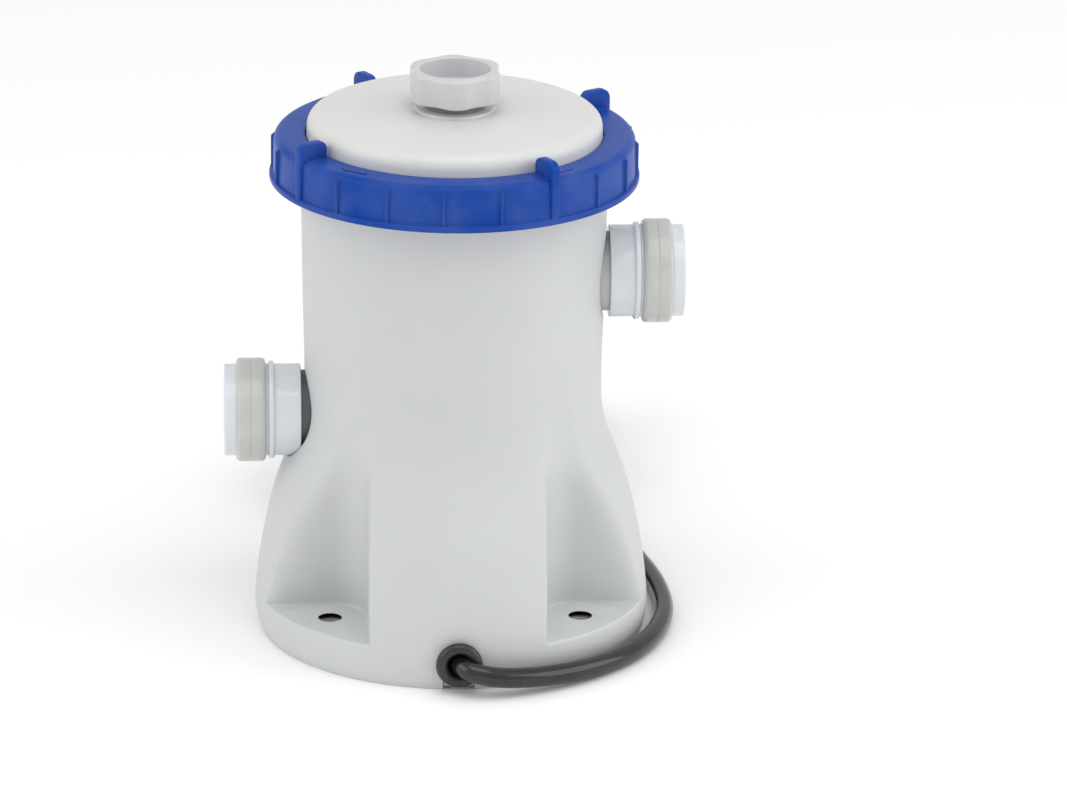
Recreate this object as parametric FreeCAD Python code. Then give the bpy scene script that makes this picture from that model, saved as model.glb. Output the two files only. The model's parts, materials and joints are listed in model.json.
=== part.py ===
"""Cartridge filter pump for a small above-ground pool: millimetres, +Z up.

The origin is on the floor under the centre of the upright body. The upper hose port
points along +X, the lower one along -X, and the mains cord leaves at the front, -Y.
"""
import FreeCAD
import Part
import math
import os

V = FreeCAD.Vector
ORIGIN = V(0, 0, 0)
UP = V(0, 0, 1)

# ---- clearances --------------------------------------------------------------------------------
SLIP = 0.02              # parts of one body that fit into each other
GAP = 0.3                # parts that move past each other
RUN = 0.05               # shaft in its bush
THREAD_GAP = 0.4         # crest to crest in a thread, which is drawn clear

# ---- inlet nozzle and filter cartridge, which the housing is sized round -----------------------
EYE_R = 10.5             # water inlet through the vessel's floor
NOZZLE_WALL = 2.8
NOZZLE_H = 7.4
CART_H = 90.0
CAP_R = 40.0
CAP_H = 8.0
FOOT_CAP_STEP = 2.75     # the lower cap is this much smaller in radius
FOOT_CAP_R = CAP_R - FOOT_CAP_STEP
FOOT_CAP_H = 4.0
CAP_HOLE_R = EYE_R + NOZZLE_WALL + 2 * GAP
CAP_GROOVE_W = 2.6       # shallow ring groove in the upper cap's face
CAP_GROOVE_IN = 14.4     # from the cap's rim to the groove's inner edge
FOOT_GROOVE_W = 2.0
FOOT_GROOVE_IN = 7.25
PLEATS = 47
PLEAT_MARGIN = 3.6       # from the upper cap's rim to the pleats' tips
PLEAT_R = CAP_R - PLEAT_MARGIN
PLEAT_T = 0.5            # thickness of the filter sheet
CORE_STEP = 2.5          # from the caps' hole to the core's outside
CORE_R = CAP_HOLE_R + CORE_STEP
CORE_WALL = 2.0
CORE_HOLE_R = 3.2
CORE_ROWS = 5
CORE_DRILLS = 2          # each drill makes two holes

# ---- heights from the lower port up ------------------------------------------------------------
LOWER_PORT_Z = 78.5
PORT_TO_FLOOR = 6.8      # lower port's axis to the underside of the vessel's floor
FLOOR_Z = LOWER_PORT_Z + PORT_TO_FLOOR
FLOOR_T = 2.3
SEAT_H = 2.4             # ribs that carry the cartridge
UPPER_PORT_UP = 43.4     # upper port's axis above that floor
UPPER_PORT_Z = FLOOR_Z + UPPER_PORT_UP
CART_PROUD = 6.0         # how far the cartridge stands out of the neck
NECK_TOP = FLOOR_Z + FLOOR_T + SEAT_H + CART_H - CART_PROUD
NECK_H = 10.0
SHELL_TOP = NECK_TOP - NECK_H    # top rim of the shell, under the neck of the vessel

# ---- filter vessel -----------------------------------------------------------------------------
VESSEL_WALL = 3.0
WATER_GAP = 5.0          # dirty water round the cartridge's caps
VESSEL_R = CAP_R + WATER_GAP + VESSEL_WALL
NECK_FLANGE_T = 3.5
NECK_OUT = 9.6           # how far the neck stands out over the chamber's wall
THREAD_R = VESSEL_R + NECK_OUT   # root radius of the neck's thread
THREAD_TOOTH = 0.9
THREAD_PITCH = 3.0
NECK_WALL = 3.6

# ---- outer shell -------------------------------------------------------------------------------
SHELL_WALL = 2.5
SHELL_CLEAR = 1.2        # vessel to shell
WAIST_R = VESSEL_R + SHELL_CLEAR + SHELL_WALL    # where the flare has run out into the upright wall
NECK_DRAFT = 1.2         # how much wider the upright wall is at its top
NECK_R = WAIST_R + NECK_DRAFT
FLARE_REACH = 17.0       # how far the base flares out
BASE_R = WAIST_R + FLARE_REACH   # widest radius of the flared base
FOOT_TUCK = 2.0
FOOT_R = BASE_R - FOOT_TUCK      # radius where the shell stands on the floor
BASE_Z = 10.6            # height of the widest ring
WAIST_Z = 86.0           # height where the flare ends
# flare between the widest ring and the waist: (share of the height, share of the radius)
FLARE = [(0.25, 0.87), (0.50, 0.635), (0.655, 0.405), (0.83, 0.112)]

# ---- four screw pockets in the flare -----------------------------------------------------------
HOLE_IN_X = 25.3         # floor screw holes, from the widest radius, along X
HOLE_IN_Y = 33.9         # and along Y
HOLE_X = BASE_R - HOLE_IN_X
HOLE_Y = BASE_R - HOLE_IN_Y
HOLE_R = 4.1
LEDGE_Z = 14.2           # top of the ledge that the screw head bears on
LEDGE_WALL = 2.5
POCKET_R = 12.8          # clear radius round the screw, also the pocket's inner corner
POCKET_LEAN = 0.208      # how far the pocket's long wall leans back, per height
BOSS_WALL = 2.6          # wall of the tube that backs each hole down to the floor

# ---- hose ports --------------------------------------------------------------------------------
STUB_REACH = 10.3        # moulded stub beyond the shell
STUB_END = WAIST_R + STUB_REACH
SPIGOT_REACH = 17.5      # spigot beyond the stub
PORT_END = STUB_END + SPIGOT_REACH
SPIGOT_R = 16.0          # for 32 mm hose
SPIGOT_WALL = 3.0
SPIGOT_BORE_R = SPIGOT_R - SPIGOT_WALL
SOCKET_WALL = 2.2        # spigot's wall over the stub
STUB_R = SPIGOT_R - SOCKET_WALL
STUB_WALL = 2.3
BEAD_H = 1.0
BEAD_R = SPIGOT_R + BEAD_H
BEAD_W = 2.4
SLEEVE_T = 2.05
SLEEVE_R = SPIGOT_R + SLEEVE_T   # soft hose sleeve pushed onto the spigot
SLEEVE_W = 10.4
SLEEVE_TIP = 4.1         # bare spigot beyond the sleeve
SLEEVE_GROOVE = 0.25     # parting groove round the sleeve's middle
SEAT_STEP = 0.2          # the spigot is turned down under the sleeve, which can't creep off its seat
SHELL_GAP = 1.2          # spigot's inner edge to the shell
PORT_HOLE_GAP = 0.4      # shell's hole round the spigot

# ---- cover, locking ring, air release ----------------------------------------------------------
FLANGE_IN = 0.7
FLANGE_R = THREAD_R - FLANGE_IN
FLANGE_T = 2.1
COVER_IN = 3.1           # cover's side to the neck's inside
COVER_R = THREAD_R - NECK_WALL - COVER_IN
COVER_WALL = 2.6
RING_WALL = 2.4
RING_TOOTH = 1.0
RING_R = THREAD_R + THREAD_TOOTH + THREAD_GAP + RING_TOOTH + RING_WALL
RING_DROP = 0.6          # how far the ring hangs below the neck's underside
RING_BOTTOM = SHELL_TOP - RING_DROP
RING_PLATE_T = 2.6
RING_TOP = NECK_TOP + FLANGE_T + 2 * GAP + RING_PLATE_T
RING_ROUND = 2.6         # rounded top edge
RING_LIP = 1.4
RING_LIP_R = RING_R + RING_LIP
RING_LIP_H = 2.2
RIB_COUNT = 20
RIB_PROUD = 1.0
RIB_W = 1.5
EAR_W = 3.1
EAR_EVERY = 5
EAR_ANGLE = 30.4         # first ear, measured from the front towards +X
EAR_DEPTH = 10.0
EAR_IN_R = RING_R - EAR_DEPTH
EAR_H = 5.9
EAR_ROUND = 3.4
COVER_SIDE_H = 2.1       # side wall that shows above the ring
COVER_RIM_Z = RING_TOP + COVER_SIDE_H    # where the side wall starts to round over
COVER_BEND_R = 5.4
COVER_SHOULDER_R = COVER_R - COVER_BEND_R
COVER_BEND_H = 4.9
COVER_SHOULDER_Z = COVER_RIM_Z + COVER_BEND_H
CROWN_H = 1.7
COVER_CROWN_Z = COVER_SHOULDER_Z + CROWN_H
COVER_BOSS_R = 13.8
COVER_BOSS_T = 0.7
SEAL_T = 1.3
KNOB_NECK_H = 1.7
KNOB_H = 10.6
KNOB_TOP = COVER_CROWN_Z + COVER_BOSS_T + SEAL_T + KNOB_NECK_H + KNOB_H
KNOB_R = 16.6
KNOB_LOBES = 6
KNOB_VALLEY = 1.8        # depth of the finger valleys
KNOB_WALL = 4.55         # cup's rim to the lobes
KNOB_CUP_R = KNOB_R - KNOB_WALL
KNOB_CUP_DEPTH = 7.6
KNOB_EDGE = 1.4
STEM_R = 4.9
NECK_OF_KNOB_R = STEM_R + 3.7
SEAL_R = NECK_OF_KNOB_R + 1.8
PLUG_BOSS_DIP = 4.0      # how deep the boss under the cover closes the cartridge's top hole
PLUG_BOSS_END = NECK_TOP + CART_PROUD - PLUG_BOSS_DIP
STEM_TAIL = 7.5          # stem below that boss
STEM_END_Z = PLUG_BOSS_END - STEM_TAIL
STEM_CLIP_R = STEM_R + 2.1
STEM_CLIP_T = 1.6

# ---- pump and motor ----------------------------------------------------------------------------
VOLUTE_R = 24.0
VOLUTE_WALL = 4.0
CHAMBER_H = 20.8
VOLUTE_Z = FLOOR_Z - CHAMBER_H   # floor of the impeller chamber
VOLUTE_FLOOR_T = 2.5
DUCT_W = 20.0            # outlet passage between the impeller chamber and the lower stub
DUCT_H = 11.0
DUCT_WALL = 2.2
EAR_R = 4.0              # screw ears of the pump housing
EAR_T = 8.0
CAN_R = 13.5
CAN_WALL = 1.4
CAN_H = 35.5
CAN_BOTTOM = VOLUTE_Z - CAN_H
MAGNET_GAP = 1.2
MAGNET_R = CAN_R - CAN_WALL - MAGNET_GAP
MAGNET_UP = 7.0
MAGNET_Z = CAN_BOTTOM + MAGNET_UP
MAGNET_H = 22.5
SHAFT_R = 1.5
BUSH_L = 7.0
IMPELLER_GAP = 7.0
IMPELLER_R = VOLUTE_R - IMPELLER_GAP
IMPELLER_VANES = 6
VANE_T = 1.6
VANE_H = 12.5
BOBBIN_T = 1.2
BOBBIN_FLANGE = 3.7
CORE_PLATE_Z = MAGNET_Z  # underside of the laminated core
CORE_PLATE_H = VOLUTE_Z - VOLUTE_FLOOR_T - GAP - BOBBIN_FLANGE - CORE_PLATE_Z
CORE_LEG_IN = 7.5
CORE_LEG_WALL = 7.0      # leg outside the rotor can
CORE_LEG_OUT = CAN_R + CORE_LEG_WALL
CORE_FRONT = CAN_R + 1.0
CORE_BACK = 51.0
CORE_YOKE_T = 12.0
BOBBIN_FROM = CAN_R + 4.0
BOBBIN_TO = 37.5
WIRE_R = 1.1

# ---- base plate, cord entry and terminals ------------------------------------------------------
PLATE_Z = 1.0
PLATE_T = 2.5
SCREW_R = 1.5
SCREW_HEAD_R = 2.8
SCREW_BITE = 3.4         # how far the pump housing's screws reach into the vessel's floor
POST_R = 4.2
POST_ANGLE = 16.0        # posts either side of the Y axis
POST_IN = 8.1            # posts' ring from the shell's foot
POST_RING_R = FOOT_R - POST_IN
CORD_R = 3.5
CORD_Z = 10.4            # height of the cord's hole in the shell
NOTCH_R = 5.45
GROMMET_TUBE_R = 2.1
GROMMET_RING_R = 5.95
TERMINAL = (17.0, 12.0, 12.0)
TERMINAL_BACK = -34.0
CLAMP_HALF = 12.0        # half width of the cord clamp, between the front screw posts
CLAMP_SCREW_X = 8.6
CLAMP_T = 2.5            # clamp bar above the cord

# ---- mains cord --------------------------------------------------------------------------------
COIL_X = 2.0
COIL_Y = 130.0
COIL_MID_R = 40.0
COIL_WIDE = 3            # turns side by side
COIL_HIGH = 3            # turns on top of each other
COIL_Z = 1.0             # the tie passes under the coil
TIE_W = 12.0
TIE_T = 1.0
PLUG_W = 35.3
PLUG_T = 13.7
PLUG_L = 36.0
PIN_R = 2.0
PIN_L = 19.0
PIN_SPACING = 18.6
RELIEF_L = 30.0
RELIEF_R = 5.4
# free cord from the grommet, round the right side of the base, to the coil behind it
CORD_ROUTE = [
    (0.0, -66.0, 10.4), (0.2, -71.0, 10.3), (4.6, -75.6, 9.2), (14.5, -74.9, 7.0), (29.0, -69.6, 5.4),
    (46.0, -59.0, 4.2), (60.5, -44.0, 3.5), (70.5, -25.0, 3.5), (75.5, -3.0, 3.5), (74.5, 22.0, 3.5),
    (69.0, 48.0, 3.5), (61.3, 76.0, 3.7), (53.8, 102.0, 4.5), (49.0, 126.0, 4.5),
]
# end of the cord, over the coil's top turns to the plug's strain relief
TAIL_ROUTE = [
    (-9.3, 99.0, 18.6), (2.2, 95.7, 21.8), (14.2, 96.1, 24.8), (25.5, 100.1, 26.6), (35.1, 107.3, 27.7),
    (42.0, 117.1, 28.4), (45.6, 128.5, 28.8), (45.6, 138.5, 28.85),
]


# ---- helpers -----------------------------------------------------------------------------------
def save(name, shape):
    """Write one sub-part as parts/NAME.step."""
    shape.exportStep("parts/" + name + ".step")


def closed_wire(steps, place):
    """Closed outline. A step is a point, or a pair (middle, end) for an arc."""
    edges = []
    here = place(steps[0])
    last = steps[-1][1] if isinstance(steps[-1][0], tuple) else steps[-1]
    closing = [] if last == steps[0] else steps[:1]
    for step in steps[1:] + closing:
        if isinstance(step[0], tuple):
            end = place(step[1])
            edges.append(Part.Arc(here, place(step[0]), end).toShape())
        else:
            end = place(step)
            edges.append(Part.LineSegment(here, end).toShape())
        here = end
    return Part.Wire(edges)


def turned(steps):
    """Solid of revolution about Z from an outline of (radius, height)."""
    face = Part.Face(closed_wire(steps, lambda p: V(p[0], 0, p[1])))
    return face.revolve(ORIGIN, UP, 360)


def plate(steps, z, height):
    """Outline of (x, y) at height z, extruded upwards."""
    face = Part.Face(closed_wire(steps, lambda p: V(p[0], p[1], z)))
    return face.extrude(V(0, 0, height))


def tube(inner, outer, low, high):
    """Upright ring between two radii and two heights."""
    ring = Part.makeCylinder(outer, high - low, V(0, 0, low))
    if inner > 0:
        ring = ring.cut(Part.makeCylinder(inner, high - low, V(0, 0, low)))
    return ring


def block(x0, x1, y0, y1, z0, z1):
    """Box from its lowest and highest corners."""
    return Part.makeBox(x1 - x0, y1 - y0, z1 - z0, V(x0, y0, z0))


def rounded_block(x0, x1, y0, y1, z0, z1, radius):
    """Box with its upright edges rounded."""
    box = block(x0, x1, y0, y1, z0, z1)
    upright = [e for e in box.Edges if e.BoundBox.ZLength > (z1 - z0) / 2]
    return box.makeFillet(radius, upright)


def spun(shape, angle, centre=ORIGIN, axis=UP):
    """Copy turned about an axis."""
    copy = shape.copy()
    copy.rotate(centre, axis, angle)
    return copy


def moved(shape, x, y, z):
    """Copy moved by x, y, z."""
    copy = shape.copy()
    copy.translate(V(x, y, z))
    return copy


def mirrored(shape, normal):
    """Mirror image through the origin."""
    return shape.mirror(ORIGIN, normal)


def to_port(shape, side, height):
    """Lay a piece drawn about Z along a hose port: side +1 is +X, side -1 is -X."""
    return moved(spun(shape, 90 * side, ORIGIN, V(0, 1, 0)), 0, 0, height)


def four_ways(shape):
    """The shape in each of the four quarters."""
    right = [shape, mirrored(shape, V(0, 1, 0))]
    return right + [mirrored(s, V(1, 0, 0)) for s in right]


def polar(radius, degrees, z=0.0):
    """Point at an angle counted from +X."""
    turn = math.radians(degrees)
    return V(radius * math.cos(turn), radius * math.sin(turn), z)


def from_front(degrees):
    """Angle from +X of a direction counted from the front, -Y, towards +X."""
    return degrees - 90.0


def torus_bead(radius, bead, z):
    """Round ring about Z."""
    return Part.makeTorus(radius, bead, V(0, 0, z), UP)


# ---- outer shell -------------------------------------------------------------------------------
def shell_solid(inset):
    """Full body of the shell, with its surface moved inwards by inset."""
    reach = BASE_R - WAIST_R
    rise = WAIST_Z - BASE_Z
    points = [(FOOT_R, 0.0), (FOOT_R + 0.7 * (BASE_R - FOOT_R), 0.33 * BASE_Z), (BASE_R, BASE_Z)]
    points += [(WAIST_R + share * reach, BASE_Z + up * rise) for up, share in FLARE]
    points += [(WAIST_R, WAIST_Z)]
    draft = (NECK_R - WAIST_R) / (SHELL_TOP - WAIST_Z)
    side = Part.BSplineCurve()
    side.interpolate([V(r - inset, 0, z) for r, z in points],
                     InitialTangent=V(BASE_R - FOOT_R, 0, 0.3 * BASE_Z), FinalTangent=V(draft, 0, 1))
    corners = [V(WAIST_R - inset, 0, WAIST_Z), V(NECK_R - inset, 0, SHELL_TOP), V(0, 0, SHELL_TOP), ORIGIN,
               V(FOOT_R - inset, 0, 0)]
    edges = [side.toShape()]
    edges += [Part.LineSegment(a, b).toShape() for a, b in zip(corners, corners[1:])]
    return Part.Face(Part.Wire(edges)).revolve(ORIGIN, UP, 360)


def pocket_tool(grow):
    """One screw pocket, grown by a wall thickness: an upright wall, a leaning wall and a ledge."""
    x0 = HOLE_X - POCKET_R - grow
    y0 = HOLE_Y - POCKET_R - grow
    low = LEDGE_Z - (LEDGE_WALL if grow else 0.0)
    corner = POCKET_R + grow
    bend = corner * (1 - math.sqrt(0.5))
    far = 2 * BASE_R
    height = WAIST_Z - low
    outline = [(x0, far), (x0, y0 + corner), ((x0 + bend, y0 + bend), (x0 + corner, y0)),
               (far, y0), (far, far)]
    face = Part.Face(closed_wire(outline, lambda p: V(p[0], p[1], low)))
    return face.extrude(V(0, POCKET_LEAN * height, height))


def port_hole(side, height):
    """Clearance for a hose port through the shell."""
    hole = Part.makeCylinder(SPIGOT_R + PORT_HOLE_GAP, PORT_END, V(0, 0, WAIST_R - 4 * SHELL_WALL))
    return to_port(hole, side, height)


def cord_notch(radius):
    """Notch for the grommet, open to the floor, at the front of the shell."""
    slot = block(-radius, radius, -2 * BASE_R, -POST_RING_R, -1, CORD_Z)
    arch = Part.makeCylinder(radius, 2 * BASE_R - POST_RING_R, V(0, -2 * BASE_R, CORD_Z), V(0, 1, 0))
    return slot.fuse(arch)


def post_places():
    """Angles of the base plate's four screw posts."""
    return [90 - POST_ANGLE, 90 + POST_ANGLE, 270 - POST_ANGLE, 270 + POST_ANGLE]


def outer_shell():
    """Flared one-piece outer casing with its pockets, bosses and posts."""
    outer = shell_solid(0.0)
    posts = []
    for angle in post_places():
        spot = polar(POST_RING_R, angle)
        post = Part.makeCylinder(POST_R, 22, V(spot.x, spot.y, PLATE_Z + PLATE_T))
        web = block(0, BASE_R - POST_RING_R, -1.2, 1.2, PLATE_Z + PLATE_T, PLATE_Z + PLATE_T + 22)
        web = moved(spun(web, angle), spot.x, spot.y, 0)
        pilot = Part.makeCylinder(SCREW_R, 12, V(spot.x, spot.y, PLATE_Z + PLATE_T))
        posts.append(post.fuse(web).common(outer).cut(pilot))
    body = outer.cut(four_ways(pocket_tool(0.0)))
    cavity = shell_solid(SHELL_WALL).cut(four_ways(pocket_tool(SHELL_WALL)))
    boss = Part.makeCylinder(HOLE_R + BOSS_WALL, LEDGE_Z, V(HOLE_X, HOLE_Y, 0))
    hole = Part.makeCylinder(HOLE_R, LEDGE_Z, V(HOLE_X, HOLE_Y, 0))
    body = body.cut(cavity).fuse(posts + four_ways(boss))
    body = body.cut(four_ways(hole))
    openings = [port_hole(1, UPPER_PORT_Z), port_hole(-1, LOWER_PORT_Z), cord_notch(NOTCH_R)]
    return body.cut(openings).removeSplitter()


# ---- filter vessel -----------------------------------------------------------------------------
def thread_rings(root, tooth, low, high):
    """Thread teeth about Z, outwards for a positive tooth and inwards for a negative one."""
    rings = []
    z = low
    while z + THREAD_PITCH / 2 <= high:
        third = THREAD_PITCH / 6
        rings.append(turned([
            (root - tooth / 2, z), (root, z), (root + tooth, z + third), (root + tooth, z + 2 * third),
            (root, z + 3 * third), (root - tooth / 2, z + 3 * third)]))
        z += THREAD_PITCH
    return rings


def seal_groove():
    """Inner radius, outer radius and floor of the groove in the neck's top face."""
    middle = THREAD_R - NECK_WALL / 2
    return middle - 0.9, middle + 0.9, NECK_TOP - 1.5


def filter_vessel():
    """Pressure vessel: chamber, threaded neck, inlet nozzle in its floor and the upper port's stub."""
    inner = VESSEL_R - VESSEL_WALL
    floor_top = FLOOR_Z + FLOOR_T
    neck_in = THREAD_R - NECK_WALL
    flange_top = SHELL_TOP + NECK_FLANGE_T
    wall = turned([
        (0, FLOOR_Z), (VESSEL_R, FLOOR_Z), (VESSEL_R, SHELL_TOP), (THREAD_R, SHELL_TOP), (THREAD_R, NECK_TOP),
        (neck_in, NECK_TOP), (neck_in, flange_top), (inner, flange_top), (inner, floor_top), (0, floor_top)])
    groove_in, groove_out, groove_z = seal_groove()
    groove = tube(groove_in, groove_out, groove_z, NECK_TOP)
    nozzle = Part.makeCylinder(EYE_R + NOZZLE_WALL, NOZZLE_H, V(0, 0, floor_top))
    seats = [spun(block(EYE_R, inner - 4, -1, 1, floor_top, floor_top + SEAT_H), 60 * n) for n in range(6)]
    stub = Part.makeCylinder(STUB_R, STUB_END - inner, V(0, 0, inner))
    stub = to_port(stub, 1, UPPER_PORT_Z).cut(Part.makeCylinder(inner, NECK_TOP))
    bore = Part.makeCylinder(STUB_R - STUB_WALL, STUB_END, V(0, 0, EYE_R))
    bore = to_port(bore, 1, UPPER_PORT_Z)
    teeth = thread_rings(THREAD_R, THREAD_TOOTH, flange_top + 0.6, NECK_TOP)
    pads = [Part.makeCylinder(2 * SCREW_R, FLOOR_T + SEAT_H - GAP, spot) for spot in ear_spots(FLOOR_Z)]
    pilots = [Part.makeCylinder(SCREW_R, SCREW_BITE, spot) for spot in ear_spots(FLOOR_Z)]
    body = wall.fuse([nozzle, stub] + seats + teeth + pads)
    eye = Part.makeCylinder(EYE_R, 2 * NOZZLE_H, V(0, 0, FLOOR_Z))
    spokes = [spun(block(0, EYE_R + 0.5, -0.9, 0.9, FLOOR_Z, floor_top), 90 + 120 * n) for n in range(3)]
    hub = Part.makeCylinder(SHAFT_R + 2.6, FLOOR_T, V(0, 0, FLOOR_Z))
    socket = Part.makeCylinder(SHAFT_R + 1.2, FLOOR_T, V(0, 0, FLOOR_Z))
    body = body.cut([groove, bore, eye] + pilots).fuse(spokes + [hub]).cut(socket)
    o_ring_seat = to_port(tube(STUB_R - 0.9, STUB_R, STUB_END - 5, STUB_END - 3.2), 1, UPPER_PORT_Z)
    return body.cut(o_ring_seat).removeSplitter()


def cover_seal():
    """Square-section seal in the neck's groove."""
    groove_in, groove_out, groove_z = seal_groove()
    return tube(groove_in + SLIP, groove_out - SLIP, groove_z, flange_bottom() - SLIP)


def flange_bottom():
    """Underside of the cover's flange."""
    return NECK_TOP + GAP


# ---- hose ports --------------------------------------------------------------------------------
def shell_radius(z):
    """Outer radius of the upright wall."""
    up = max(0.0, z - WAIST_Z) / (SHELL_TOP - WAIST_Z)
    return WAIST_R + up * (NECK_R - WAIST_R)


def sleeve_start():
    """Distance from the axis to the soft sleeve's inner end."""
    return PORT_END - SLEEVE_TIP - SLEEVE_W


def seat_r():
    """Radius of the spigot under its sleeve."""
    return SPIGOT_R - SEAT_STEP


def spigot(height):
    """Hose spigot about Z, from the shell outwards, with its bead."""
    start = shell_radius(height) + SHELL_GAP
    bead = sleeve_start() - 0.7
    low_bead = bead - BEAD_W
    top = BEAD_R - SPIGOT_R
    bore = STUB_R + SLIP
    seat_end = sleeve_start() + SLEEVE_W + GAP
    return turned([
        (bore, start), (SPIGOT_R - 0.3, start), (SPIGOT_R, start + 0.3), (SPIGOT_R, low_bead),
        ((SPIGOT_R + 0.7 * top, low_bead + 0.35), (BEAD_R, low_bead + BEAD_W / 2)),
        ((SPIGOT_R + 0.7 * top, bead - 0.35), (SPIGOT_R, bead)),
        (seat_r(), bead), (seat_r(), seat_end), (SPIGOT_R, seat_end), (SPIGOT_R, PORT_END - 0.6),
        (SPIGOT_R - 0.6, PORT_END), (SPIGOT_BORE_R, PORT_END),
        (SPIGOT_BORE_R, STUB_END + GAP), (bore, STUB_END + GAP)])


def hose_sleeve():
    """Soft sleeve about Z with rounded edges and a parting groove."""
    low = sleeve_start()
    high = low + SLEEVE_W
    mid = (low + high) / 2
    inner = seat_r() + SLIP
    soft = 1.3
    return turned([
        (inner, low), (SLEEVE_R - soft, low),
        ((SLEEVE_R - 0.3 * soft, low + 0.3 * soft), (SLEEVE_R, low + soft)),
        (SLEEVE_R, mid - 0.3), (SLEEVE_R - SLEEVE_GROOVE, mid), (SLEEVE_R, mid + 0.3),
        (SLEEVE_R, high - soft), ((SLEEVE_R - 0.3 * soft, high - 0.3 * soft), (SLEEVE_R - soft, high)),
        (inner, high)])


def stub_seal():
    """Seal about Z between a stub and its spigot."""
    return tube(STUB_R - 0.9 + SLIP, STUB_R, STUB_END - 5 + SLIP, STUB_END - 3.2 - SLIP)


# ---- cover, locking ring and air release -------------------------------------------------------
def cover_skin(inset):
    """Solid under the cover's outer surface, moved inwards by inset."""
    side = COVER_R - inset
    shoulder_r = COVER_SHOULDER_R - 0.6 * inset
    shoulder_z = COVER_SHOULDER_Z - inset
    rim = COVER_RIM_Z - 0.6 * inset
    lean = 0.72
    bend = (shoulder_r + lean * (side - shoulder_r), rim + lean * (shoulder_z - rim))
    crown = COVER_CROWN_Z - inset
    middle_r = (shoulder_r + COVER_BOSS_R) / 2
    middle_z = shoulder_z + 0.74 * (crown - shoulder_z)
    return turned([
        (0, NECK_TOP - COVER_WALL), (side, NECK_TOP - COVER_WALL), (side, rim),
        (bend, (shoulder_r, shoulder_z)),
        ((middle_r, middle_z), (COVER_BOSS_R, crown)), (0, crown)])


def stem_hole_r():
    """Hole for the air-release stem."""
    return STEM_R + THREAD_GAP


def filter_cover():
    """Domed cover with its flange, ribs, threaded boss and a raised direction arrow."""
    low = flange_bottom()
    skin = cover_skin(0.0)
    outside = skin.fuse(tube(0, COVER_BOSS_R, COVER_CROWN_Z - 1, COVER_CROWN_Z + COVER_BOSS_T))
    arrow_h = COVER_CROWN_Z - COVER_SHOULDER_Z + 0.25
    arrow = plate([(-3.6, -27.5), (3.6, -27.5), (0, -21.5)], COVER_SHOULDER_Z, arrow_h)
    hollow = cover_skin(COVER_WALL)
    flange = tube(COVER_R - COVER_WALL, FLANGE_R, low, low + FLANGE_T)
    boss = Part.makeCylinder(CAP_HOLE_R - 2 * GAP, COVER_CROWN_Z - PLUG_BOSS_END, V(0, 0, PLUG_BOSS_END))
    rib = block(0, COVER_R - 1, -0.8, 0.8, cart_top() + 1.6, COVER_CROWN_Z)
    ribs = [spun(rib, 45 * n + 22.5).common(skin) for n in range(8)]
    body = outside.fuse(arrow).cut(hollow).fuse([flange, boss] + ribs)
    body = body.cut(tube(0, stem_hole_r(), PLUG_BOSS_END - 1, KNOB_TOP))
    return body.cut(tube(0, FLANGE_R + 1, low - 2 * COVER_WALL, low).cut(boss)).removeSplitter()


def ring_plate_bottom():
    """Underside of the locking ring's top plate, just above the cover's flange."""
    return flange_bottom() + FLANGE_T + GAP


def locking_ring():
    """Threaded ring with a rolled lower lip, grip ribs and four ears."""
    inner = RING_R - RING_WALL
    opening = COVER_R + THREAD_GAP
    under = ring_plate_bottom()
    top = RING_TOP
    lip_top = RING_BOTTOM + RING_LIP_H
    bend = RING_ROUND * (1 - math.sqrt(0.5))
    body = turned([
        (inner, RING_BOTTOM), (RING_LIP_R - 0.5, RING_BOTTOM), (RING_LIP_R, RING_BOTTOM + 0.5),
        (RING_LIP_R, lip_top - 0.5),
        (RING_R + 0.1, lip_top + 0.2), (RING_R - 0.2, top - RING_ROUND),
        ((RING_R - 0.2 - bend, top - bend), (RING_R - RING_ROUND - 0.2, top)), (opening + 0.5, top),
        ((opening + 0.15, top - 0.15), (opening, top - 0.5)), (opening, under), (inner, under)])
    crest = THREAD_R + THREAD_TOOTH + THREAD_GAP
    teeth = thread_rings(inner, crest - inner, SHELL_TOP + NECK_FLANGE_T + 0.6 + THREAD_PITCH / 2, under)
    ribs = []
    for n in range(RIB_COUNT):
        angle = from_front(EAR_ANGLE + 360.0 / RIB_COUNT * n)
        reach = RING_R + RIB_PROUD
        if n % EAR_EVERY:
            rib = block(RING_R - 1, reach - 0.1, -RIB_W / 2, RIB_W / 2, RING_BOTTOM + 1, top - RING_ROUND)
            upright = [e for e in rib.Edges if e.BoundBox.ZLength > 5 and e.BoundBox.XMin > RING_R]
            rib = rib.makeFillet(0.3 * RIB_W, upright)
            ribs.append(spun(rib, angle))
        else:
            ribs.append(spun(ear(reach + 0.1, top), angle))
    return body.fuse(teeth).fuse(ribs).removeSplitter()


def ear(reach, top):
    """Wide rib whose head stands up as a grip ear; drawn in the XZ plane."""
    bend = EAR_ROUND * (1 - math.sqrt(0.5))
    crown = top + EAR_H
    outline = [
        (RING_R - RING_WALL / 2, RING_BOTTOM + 0.6), (reach, RING_BOTTOM + 0.6), (reach, crown - EAR_ROUND),
        ((reach - bend, crown - bend), (reach - EAR_ROUND, crown)), (EAR_IN_R + EAR_ROUND, crown),
        ((EAR_IN_R + bend, crown - bend), (EAR_IN_R, crown - EAR_ROUND)), (EAR_IN_R, top - 1),
        (RING_R - RING_WALL / 2, top - 1)]
    face = Part.Face(closed_wire(outline, lambda p: V(p[0], -EAR_W / 2, p[1])))
    return face.extrude(V(0, EAR_W, 0))


def boss_top():
    """Top of the raised disc under the knob."""
    return COVER_CROWN_Z + COVER_BOSS_T


def air_release_seal():
    """Flat washer that the knob presses on the cover."""
    return tube(stem_hole_r(), SEAL_R, boss_top() + SLIP, boss_top() + SEAL_T)


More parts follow.
